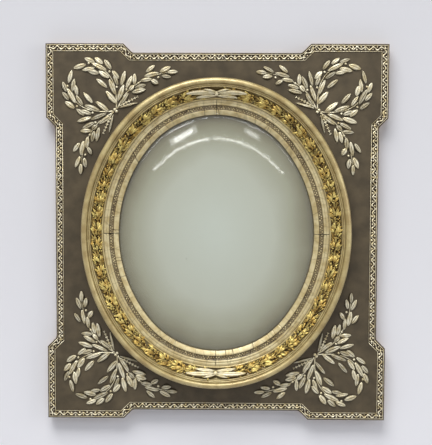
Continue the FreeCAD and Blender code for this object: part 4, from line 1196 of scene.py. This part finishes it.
@dataclass
class Border:
    """Pressed border strip: ground, two rails, and a running wave with a bead in each bow. Sizes are in mm.

    The real module is finer. It is drawn as coarse as it needs to show.
    """
    front: float = PLATE_FRONT
    inset: float = 2.0
    width: float = 11.5
    module: float = 7.0
    margin: float = 2.6
    wave: float = 2.7
    wave_rise: float = 1.2
    wave_radius: float = 0.8
    wave_swell: float = 0.65
    bead_aside: float = 2.1
    bead_rise: float = 1.1
    bead_flat: float = 0.7
    wear: float = 3.3
    foot_x: float = 148.0
    ear_x: float = 164.0
    edge_x: float = 300.0
    long_x: float = 284.0
    foot_z: float = 187.5
    ear_z: float = 203.5
    edge_z: float = 332.5
    long_z: float = 316.5

    def section(self) -> tuple[Array, Array]:
        """The section of the ground and its rails.

        Returns:
            Inset and rise of each corner, and how dark each is: toning and painted shade.
        """
        outer, inner = self.inset, self.inset + self.width
        # The ground between the rails is dark from toning and painted shade, and the walls down to the plate are
        # darker as painted shade.
        table = [
            (outer, 0.0, 1.0), (outer, 0.9, 0.5), (outer + 0.4, 1.3, 0.15), (outer + 0.9, 1.3, 0.15),
            (outer + 1.2, 0.7, 1.0), (inner - 1.2, 0.7, 1.0), (inner - 0.9, 1.3, 0.15), (inner - 0.4, 1.3, 0.15),
            (inner, 0.9, 0.8), (inner, 0.0, 1.0),
        ]
        values = np.array(table)
        return values[:, :2], values[:, 2]

    def lines(self) -> dict[str, tuple[Array, Array]]:
        """The outline of each strip.

        A mitre between edges 45 degrees apart moves along by the tangent of 22.5 degrees.

        Returns:
            For each CAD node, its corners on the plate's outline, and how each moves for an inset of one.
        """
        mitre = math.tan(math.pi / 8)
        ear = np.array([(self.foot_x, self.long_z), (self.ear_x, self.edge_z), (self.edge_x, self.edge_z),
                        (self.edge_x, self.ear_z), (self.long_x, self.foot_z)])
        ear_way = np.array([(mitre, -1), (mitre, -1), (-1, -1), (-1, mitre), (-1, mitre)])
        top = np.array([(-self.foot_x, self.long_z), (self.foot_x, self.long_z)])
        top_way = np.array([(-mitre, -1), (mitre, -1)])
        side = np.array([(self.long_x, -self.foot_z), (self.long_x, self.foot_z)])
        side_way = np.array([(-1, -mitre), (-1, mitre)])
        found = {"border_top": (top, top_way), "border_bottom": (top * [1, -1], top_way * [1, -1]),
                 "border_right": (side, side_way), "border_left": (side * [-1, 1], side_way * [-1, 1])}
        for level, tier in ((1, "upper"), (-1, "lower")):
            for hand_sign, hand in ((1, "right"), (-1, "left")):
                flip = [hand_sign, level]
                found[f"border_{tier}_{hand}_ear"] = (ear * flip, ear_way * flip)
        return found

    def on_plate(self, flat: Array, rise: Array) -> Array:
        """Places from x and z on the plate and the rise from it."""
        return np.stack([flat[..., 0], -(self.front + rise) + 0 * flat[..., 0], flat[..., 1]], -1)

    def strip(self, corners: Array, way: Array) -> Surface:
        """The ground with its rails: the section carried along the corners, mitred.

        Args:
            corners: Corners on the plate's outline.
            way: How each moves for an inset of one.

        Returns:
            The closed strip.
        """
        section, shade_and_toning = self.section()
        flat = corners[:, None, :] + section[None, :, 0, None] * way[:, None, :]
        places = self.on_plate(flat, section[None, :, 1])
        deep = shade_and_toning[None, :] + 0 * flat[..., 0]
        return capped(places, deep, flat)

    def beads(self, spots: Array, radius: Array, along: Array, across: Array) -> Surface:
        """Flat beads on the strip.

        Args:
            spots: Their middles as x and z.
            radius: Radius of each.
            along: Direction of their first axis.
            across: Direction of their second axis.

        Returns:
            The beads.
        """
        local, whole = repeated(berry_form(), len(spots))
        flat = spots[:, None, :] + radius[:, None, None] * (
            local[..., 0, None] * along + local[..., 1, None] * across)
        rise = self.bead_rise + self.bead_flat * radius[:, None] * local[..., 2]
        whole.places = self.on_plate(flat, rise).reshape(-1, 3)
        return whole

    def ornament(self, start: Array, end: Array) -> list[Surface]:
        """Running wave on a straight run, with a bead in each of its bows.

        The wave is 2.7 mm times the sine of pi times the share of a module, and thickest in its bows. How far each bow
        swings and how fat its bead is vary, and so does the wear from step to step, as on an old strip.

        Args:
            start: Start of the run's middle line.
            end: End of it.

        Returns:
            The surfaces.
        """
        way = end - start
        length = float(np.linalg.norm(way))
        way = way / length
        square = np.array([-way[1], way[0]])
        clear = length - 2 * self.margin
        count = max(1, round(clear / self.module))
        pitch = clear / count
        order = np.arange(count)
        at = self.margin + np.linspace(0, clear, 10 * count + 1)
        draw = np.random.default_rng(int(abs(start[0]) + 2 * abs(start[1])))
        beat = np.sin(np.pi * (at - self.margin) / pitch)
        module = np.minimum(((at - self.margin) / pitch).astype(int), count - 1)
        bow = draw.uniform(0.6, 1.15, count)[module]
        flat = start + at[:, None] * way + (self.wave * bow * beat)[:, None] * square
        path = self.on_plate(flat, np.full(len(at), self.wave_rise))
        wave = tube(path, self.wave_radius + self.wave_swell * np.abs(beat), 6, 1.3)
        spots = self.margin + (order + 0.5) * pitch + draw.normal(0, 0.5, count)
        aside = np.where(order % 2, self.bead_aside, -self.bead_aside) + draw.normal(0, 0.3, count)
        radius = draw.uniform(1.1, 2.1, count)
        parts = [wave, self.beads(start + spots[:, None] * way + aside[:, None] * square, radius, way, square)]
        for part in parts:
            along = (part.places[:, [0, 2]] - start) @ way
            worn = draw.uniform(-0.5, 0.4, int(length / self.wear) + 3)
            part.tone(worn[np.clip((along / self.wear).astype(int), 0, len(worn) - 1)])
        return parts

    def corner_beads(self, corners: Array) -> Surface:
        """A bead with four small ones round it at each corner of an ear.

        Args:
            corners: Corners of its middle line.

        Returns:
            The beads.
        """
        square = np.array([(0, 0), (3.1, 0), (-3.1, 0), (0, 3.1), (0, -3.1)])
        spots = (corners[:, None, :] + square[None]).reshape(-1, 2)
        radius = np.tile([2.0, 1.0, 1.0, 1.0, 1.0], len(corners))
        return self.beads(spots, radius, np.array([1.0, 0.0]), np.array([0.0, 1.0]))

    def build(self) -> None:
        """Makes the eight strips."""
        finish = BORDER_GILT.material()
        for node, (corners, way) in self.lines().items():
            middle = corners + (self.inset + self.width / 2) * way
            parts = [self.strip(corners, way)]
            for start, end in zip(middle[:-1], middle[1:]):
                parts += self.ornament(start, end)
            if len(middle) > 2:
                parts.append(self.corner_beads(middle))
            make_piece(node + "_strip", joined(parts), finish, [node])


@dataclass
class Dome:
    """The domed glass: rise times one less the share of the way out, squared, and a flat lip."""
    oval: Oval
    rise: float = 27.0
    sheet: float = 2.2
    lip: float = 7.0
    sides: int = 180

    def build(self) -> None:
        """Makes the glass as one closed shell: out over the face, round the lip and back under it."""
        share = np.concatenate([[0.03], np.linspace(0.1, 1.0, 24)])
        bearing = np.linspace(0, 2 * np.pi, self.sides, endpoint=False)
        edge = self.oval.place(bearing, np.zeros(self.sides), np.zeros(self.sides))
        rim = self.oval.place(bearing, np.full(self.sides, self.lip), np.zeros(self.sides))
        height = self.rise * (1 - share ** 2)
        face = edge[None] * [1, 0, 1] * share[:, None, None]
        outer = face + np.stack([0 * height, -(self.oval.plate_front + height), 0 * height], -1)[:, None, :]
        inner = (outer + [0, self.sheet, 0])[::-1]
        places = np.concatenate([outer, rim[None], (rim + [0, self.sheet, 0])[None], inner])
        zero = np.zeros(places.shape[:2])
        surface = capped(places, zero, places[..., [0, 2]])
        make_piece("glass_dome", surface, Glass().material(), ["convex_glass"])


@dataclass
class Fittings:
    """Turn buttons, ring hangers and slotted screws behind the frame, in mm. Depths are y, less towards the front."""
    oval: Oval
    board_back: float = -8.0
    button_x: float = 131.165
    button_z: float = 165.167
    button_length: float = 46.0
    button_width: float = 12.0
    button_thickness: float = 2.6
    gap: float = 0.2
    head_radius: float = 3.35
    head_height: float = 1.4
    hinge: tuple[float, float, float] = (235.0, -5.54, 170.0)
    wire: float = 1.3
    bow: float = 9.8
    eye_play: float = 0.06
    strap_width: float = 11.0
    strap_thickness: float = 1.1
    strap_length: float = 44.0
    strap_screw_z: float = 142.72
    batten_screw: tuple[float, float] = (190.0, 283.5)
    batten_seat: float = -1.6

    def head(self, x: float, seat: float, z: float, slot_turn: float) -> Surface:
        """Slotted round head: chords across a disc, each 1 less 0.55 r squared high, cut to 0.35 of that in the slot.

        Args:
            x: Place of its middle.
            seat: Depth of what it sits on.
            z: Place of its middle.
            slot_turn: Turn of the slot in radians.

        Returns:
            The head, closed under it.
        """
        chord = np.array([-0.985, -0.9, -0.7, -0.45, -0.17, -0.13, 0.13, 0.17, 0.45, 0.7, 0.9, 0.985])[:, None]
        across = np.array([-1.0, -0.97, -0.75, -0.4, 0.0, 0.4, 0.75, 0.97, 1.0])[None, :]
        half = np.sqrt(1 - chord ** 2)
        dome = 1 - 0.55 * (chord ** 2 + (half * across) ** 2)
        height = dome * np.where(np.abs(chord) < 0.15, 0.35, 1.0) * (np.abs(across) < 0.99)
        u, v = chord * self.head_radius + 0 * across, half * across * self.head_radius
        cosine, sine = math.cos(slot_turn), math.sin(slot_turn)
        places = np.stack([
            x + u * cosine - v * sine, seat + self.head_height * height, z + u * sine + v * cosine], -1)
        return capped(places, 0.3 + 0 * height, places[..., [0, 2]])

    def button(self, side: int, level: int) -> Surface:
        """Stamped button: a long round-ended outline, scaled and raised ring by ring over an eased edge.

        Args:
            side: 1 for the right and -1 for the left.
            level: 1 for the top and -1 for the bottom.

        Returns:
            The closed button, across the backboard's joint.
        """
        turn = np.linspace(0, 2 * np.pi, 40, endpoint=False)
        end_radius = self.button_width / 2
        reach = self.button_length / 2 - end_radius
        long = np.where(np.cos(turn) >= 0, reach, -reach) + end_radius * np.cos(turn)
        wide = end_radius * np.sin(turn)
        ring = np.array([(0.5, 0), (0.95, 0), (1, 0.12), (1, 0.75), (0.95, 1), (0.8, 1), (0.72, 0.93), (0.3, 0.93)])
        angle = self.oval.arcs[4]
        way = np.array([side * math.cos(angle), level * math.sin(angle)])
        square = np.array([-way[1], way[0]])
        inward = (1 - ring[:, 0, None]) * end_radius
        flat_long = long - np.sign(long) * np.minimum(inward, np.abs(long))
        flat_wide = wide * ring[:, 0, None]
        flat = flat_long[..., None] * way + flat_wide[..., None] * square
        x, z = side * self.button_x + flat[..., 0], level * self.button_z + flat[..., 1]
        y = self.board_back + self.gap + ring[:, 1, None] * self.button_thickness + 0 * x
        return capped(np.stack([x, y, z], -1), 0 * x, flat)

    def ring(self, side: int) -> Surface:
        """D-ring: a straight bar in the strap's eye and a half circle of the same wire below it.

        Args:
            side: 1 for the right and -1 for the left.

        Returns:
            The ring, hanging down.
        """
        hinge = np.array(self.hinge) * [side, 1, 1]
        bar = hinge + np.linspace(-1, 1, 9)[:, None] * [self.bow + self.wire, 0, 0]
        turn = np.linspace(0, np.pi, 33)[:, None]
        bow = hinge + self.bow * np.concatenate([np.cos(turn), 0 * turn, -np.sin(turn)], 1)
        return joined([tube(path, np.full(len(path), self.wire), 14) for path in (bar, bow)])

    def strap(self, side: int) -> Surface:
        """Strap that runs up the stile and rolls round the bar, as a thin section carried along that line.

        Its foot is round: half the width times the root of 1 less the square of the share still missing.

        Args:
            side: 1 for the right and -1 for the left.

        Returns:
            The closed strap.
        """
        hinge = self.hinge
        roll = self.wire + self.eye_play + self.strap_thickness / 2
        steps = 26
        rise = np.linspace(hinge[2] - self.strap_length, hinge[2], steps)
        straight = np.stack([np.full(steps, self.board_back + self.strap_thickness / 2), rise], -1)
        turn = np.radians(np.linspace(170, -150, 33))
        eye = np.stack([hinge[1] + roll * np.cos(turn), hinge[2] + roll * np.sin(turn)], -1)
        line = np.concatenate([straight, eye])
        tangent = np.gradient(line, axis=0)
        tangent /= np.linalg.norm(tangent, axis=1, keepdims=True)
        normal = np.stack([-tangent[:, 1], tangent[:, 0]], -1)
        half = self.strap_width / 2
        into = np.clip((line[:, 1] - line[0, 1]) / half, 0.02, 1)
        wide = np.where(np.arange(len(line)) < steps, half * np.sqrt(1 - (1 - into) ** 2), half)
        section = np.array([
            (-1, -0.6), (-1, 0.6), (-0.97, 1), (0.97, 1), (1, 0.6), (1, -0.6), (0.97, -1), (-0.97, -1)])
        x = side * hinge[0] + wide[:, None] * section[None, :, 0]
        depth = line[:, None, :] + normal[:, None, :] * section[None, :, 1, None] * self.strap_thickness / 2
        return capped(np.stack([x, depth[..., 0], depth[..., 1]], -1), 0 * x, np.stack([x, depth[..., 1]], -1))

    def build(self) -> None:
        """Makes the buttons, the rings, the straps and all the screw heads."""
        steel, brass = STEEL.material(), BRASS.material()
        corners = [("upper_right", 1, 1), ("upper_left", -1, 1), ("lower_right", 1, -1), ("lower_left", -1, -1)]
        for name, side, level in corners:
            make_piece(f"button_{name}_plate", self.button(side, level), brass,
                       [f"turn_button_{name}"], f"button_{name}")
        for name, side in (("left", -1), ("right", 1)):
            make_piece(f"ring_{name}_wire", self.ring(side), steel,
                       [f"hanger_ring_{name}"], f"ring_{name}")
        straps = joined([self.strap(-1), self.strap(1)])
        make_piece("hanger_strap_pair", straps, steel, ["hanger_straps"])
        button_seat = self.board_back + 2 * self.gap + self.button_thickness
        strap_seat = self.board_back + self.strap_thickness
        x, z = self.batten_screw
        rows = {
            "turn_button_screws": [(s * self.button_x, button_seat, v * self.button_z) for _, s, v in corners],
            "hanger_screws": [(s * self.hinge[0], strap_seat, self.strap_screw_z) for s in (-1, 1)],
            "batten_screws": [(s * x, self.batten_seat, v * z) for _, s, v in corners],
        }
        draw = np.random.default_rng(7)
        for node, places in rows.items():
            heads = [self.head(*place, draw.uniform(0, np.pi)) for place in places]
            make_piece(node + "_heads", joined(heads), steel, [node])


# Carried-over nodes and the stage

def dress_nodes() -> None:
    """Gives each CAD node that stays its finish."""
    rail = PaintedBoard("Oil paint on a deal rail", PLATE_PAINT, RAIL_WOOD).material()
    stile = PaintedBoard("Oil paint on a deal stile", PLATE_PAINT, STILE_WOOD).material()
    wood, batten, card = BACKBOARD_WOOD.material(), BATTEN_WOOD.material(), Card().material()
    finishes = {"plate_top": rail, "plate_bottom": rail, "plate_": stile, "backboard": wood, "top_batten": batten,
                "bottom_batten": batten, "picture_card": card}
    for name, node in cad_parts.items():
        for start, finish in finishes.items():
            if name.startswith(start):
                node.data.materials.clear()
                node.data.materials.append(finish)
                break


@dataclass(frozen=True)
class Backdrop:
    """Pale wall that curves into a floor, lit softly from above, in m. It can be seen only from its front.

    The paper's tone follows its height: greyer on the floor, where most light falls, and palest low on the wall,
    where least does.
    """
    half_width: float = 2.6
    behind: float = 0.0006
    top: float = 2.2
    bend: float = 0.4
    bend_top: float = -0.9
    floor: float = -1.3
    front: float = -1.7
    tone_top: float = 0.45
    tones: tuple[tuple[float, str], ...] = ((0.0, "#CDCDD1"), (0.22, "#D2D2D6"), (0.48, "#FAFAFE"), (1.0, "#DFDFE3"))

    def mesh(self) -> bpy.types.Mesh:
        """The paper: an upright, a quarter circle and a level run, carried from side to side.

        Returns:
            The mesh, facing forwards.
        """
        turn = np.linspace(0, np.pi / 2, 13)
        bend = np.stack([
            self.behind - self.bend * (1 - np.cos(turn)), self.bend_top - self.bend * np.sin(turn)], -1)
        line = np.concatenate([[[self.behind, self.top]], bend, [[self.front, self.floor]]])
        sides = np.array([-self.half_width, self.half_width])
        places = np.stack([
            sides[None, :] + 0 * line[:, :1], line[:, :1] + 0 * sides[None, :], line[:, 1:] + 0 * sides[None, :]], -1)
        mesh = bpy.data.meshes.new("backdrop")
        mesh.from_pydata(places.reshape(-1, 3).tolist(), [], grid_quads(len(line), 2, False, False).tolist())
        mesh.update()
        if mesh.polygons[0].normal.y > 0:
            mesh.flip_normals()
        mesh.polygons.foreach_set("use_smooth", np.ones(len(mesh.polygons), dtype=bool))
        return mesh

    def material(self) -> bpy.types.Material:
        """The finish: paper, but clear from behind and to shadow rays.

        Returns:
            The material.
        """
        material, tree = empty_material("Background paper")
        where = add(tree, "TexCoord").outputs["Object"]
        height = add(tree, "SeparateXYZ", {0: where}).outputs["Z"]
        share = add(tree, "MapRange", {
            "Value": height, "From Min": self.floor, "From Max": self.tone_top}).outputs[0]
        tone = add(tree, "ValToRGB", {0: share}, self.tones).outputs["Color"]
        paper = add(tree, "BsdfDiffuse", {"Color": tone})
        clear = add(tree, "BsdfTransparent")
        behind = add(tree, "NewGeometry").outputs["Backfacing"]
        shadow = add(tree, "LightPath").outputs["Is Shadow Ray"]
        hidden = add(tree, "Math", {0: behind, 1: shadow}, operation="MAXIMUM").outputs[0]
        mixed = add(tree, "MixShader", {0: hidden, 1: paper.outputs[0], 2: clear.outputs[0]})
        add(tree, "OutputMaterial", {"Surface": mixed.outputs[0]})
        return material

    def build(self) -> None:
        """Makes the backdrop."""
        mesh = self.mesh()
        mesh.materials.append(self.material())
        backdrop = bpy.data.objects.new("backdrop", mesh)
        bpy.context.scene.collection.objects.link(backdrop)


@dataclass(frozen=True)
class Lamp:
    """Soft box that faces a point of the object."""
    name: str
    place: tuple[float, float, float]
    size: tuple[float, float]
    watts: float
    lean: float = 0.0

    def build(self) -> None:
        """Makes the lamp."""
        data = bpy.data.lights.new(self.name, "AREA")
        data.shape, data.size, data.size_y, data.energy = "RECTANGLE", self.size[0], self.size[1], self.watts
        lamp = bpy.data.objects.new(self.name, data)
        lamp.location = self.place
        turned = (-Vector(self.place)).to_track_quat("-Z", "Y").to_matrix()
        lamp.rotation_euler = (turned @ Matrix.Rotation(math.radians(self.lean), 3, "Z")).to_euler()
        bpy.context.scene.collection.objects.link(lamp)


LAMPS = (
    Lamp("ceiling_softbox", (-0.7, -2.2, 3.6), (2.8, 2.0), 150.0),
    Lamp("fill_softbox", (2.5, -1.3, 0.6), (1.4, 1.4), 12.0),
    Lamp("window_left", (-0.67, -2.24, 1.17), (0.40, 0.055), 0.62, 27.0),
    Lamp("window_left_glow", (-0.68, -2.26, 1.18), (0.56, 0.10), 0.6, 27.0),
    Lamp("window_right", (0.60, -2.24, 1.20), (0.22, 0.04), 0.11, -27.0),
    Lamp("window_right_glow", (0.61, -2.26, 1.21), (0.34, 0.08), 0.17, -27.0),
    Lamp("back_softbox_left", (-1.6, 2.0, 1.6), (1.4, 1.4), 52.0),
    Lamp("back_softbox_right", (1.6, 2.0, 0.8), (1.4, 1.4), 30.0),
)


@dataclass(frozen=True)
class TubeLamps:
    """Strip lamps along an arch that the dome mirrors, in two runs with a gap between them, in m.

    The arch is 1.13 m up, less 0.29 times the square of the distance from its middle.
    """
    runs: tuple[tuple[float, float], ...] = ((-1.30, -0.18), (-0.10, 1.26))
    pieces: int = 5
    depth: float = -2.28
    middle: float = -0.05
    top: float = 1.13
    fall: float = 0.29
    width: float = 0.024
    watts: float = 0.2

    def build(self) -> None:
        """Makes each run as short straight lamps, turned to the slope of the arch."""
        for run, (first, last) in enumerate(self.runs):
            step = (last - first) / self.pieces
            for number in range(self.pieces):
                aside = first + (number + 0.5) * step
                slope = -2 * self.fall * (aside - self.middle)
                place = (aside, self.depth, self.top - self.fall * (aside - self.middle) ** 2)
                size = (step * math.hypot(1.0, slope), self.width)
                lean = math.degrees(math.atan(slope))
                Lamp(f"tube_{run}_{number}", place, size, self.watts, lean).build()


def make_world() -> None:
    """Even sky for soft light, which the camera, gloss and glass see as a pale background of strength 1."""
    world = bpy.data.worlds.new("studio")
    bpy.context.scene.world = world
    world.use_nodes = True
    tree = world.node_tree
    tree.nodes.clear()
    rays = add(tree, "LightPath").outputs
    bent = add(tree, "Math", {
        0: rays["Is Glossy Ray"], 1: rays["Is Transmission Ray"]}, operation="MAXIMUM").outputs[0]
    seen = add(tree, "Math", {0: rays["Is Camera Ray"], 1: bent}, operation="MAXIMUM").outputs[0]
    soft = add(tree, "Background", {"Color": linear("#F2F3F6"), "Strength": 0.32})
    pale = add(tree, "Background", {"Color": linear("#E4E4E8"), "Strength": 1.0})
    both = add(tree, "MixShader", {0: seen, 1: soft.outputs[0], 2: pale.outputs[0]})
    add(tree, "OutputWorld", {"Surface": both.outputs[0]})


@dataclass(frozen=True)
class Viewpoint:
    """Camera of the photograph's view: place in m, angles in degrees and focal length in picture points."""
    place: tuple[float, float, float] = (0.0413, -2.022, 0.1764)
    pitch: float = 4.479
    yaw: float = -1.199
    roll: float = 0.213
    focal: float = 1137.1
    long_side: float = 445.0
    sensor: float = 36.0

    def build(self) -> None:
        """Makes the camera: right and up turned about the forward direction by the roll."""
        pitch, yaw, roll = (math.radians(a) for a in (self.pitch, self.yaw, self.roll))
        forward = np.array([math.sin(yaw) * math.cos(pitch), math.cos(yaw) * math.cos(pitch), -math.sin(pitch)])
        level = np.array([math.cos(yaw), -math.sin(yaw), 0.0])
        upright = np.cross(level, forward)
        right = level * math.cos(roll) + upright * math.sin(roll)
        up = upright * math.cos(roll) - level * math.sin(roll)
        data = bpy.data.cameras.new("camera")
        data.sensor_width = self.sensor
        data.lens = self.focal * self.sensor / self.long_side
        camera = bpy.data.objects.new("camera", data)
        turned = np.eye(4)
        turned[:3, 0], turned[:3, 1], turned[:3, 2], turned[:3, 3] = right, up, -forward, self.place
        camera.matrix_world = Matrix(turned.tolist())
        bpy.context.scene.collection.objects.link(camera)
        bpy.context.scene.camera = camera


def main() -> None:
    """Builds the scene in order."""
    logging.basicConfig(level=logging.INFO, format="%(message)s")
    bpy.context.scene.view_settings.view_transform = "Standard"
    Viewpoint().build()
    make_world()
    for part in (Backdrop(), *LAMPS, TubeLamps()):
        part.build()
    oval = Oval()
    for part in (Moulding(oval), Slip(oval), Garland(oval), Laurel(), Border(), Dome(oval), Fittings(oval)):
        part.build()
    dress_nodes()


if __name__ == "__main__":
    main()
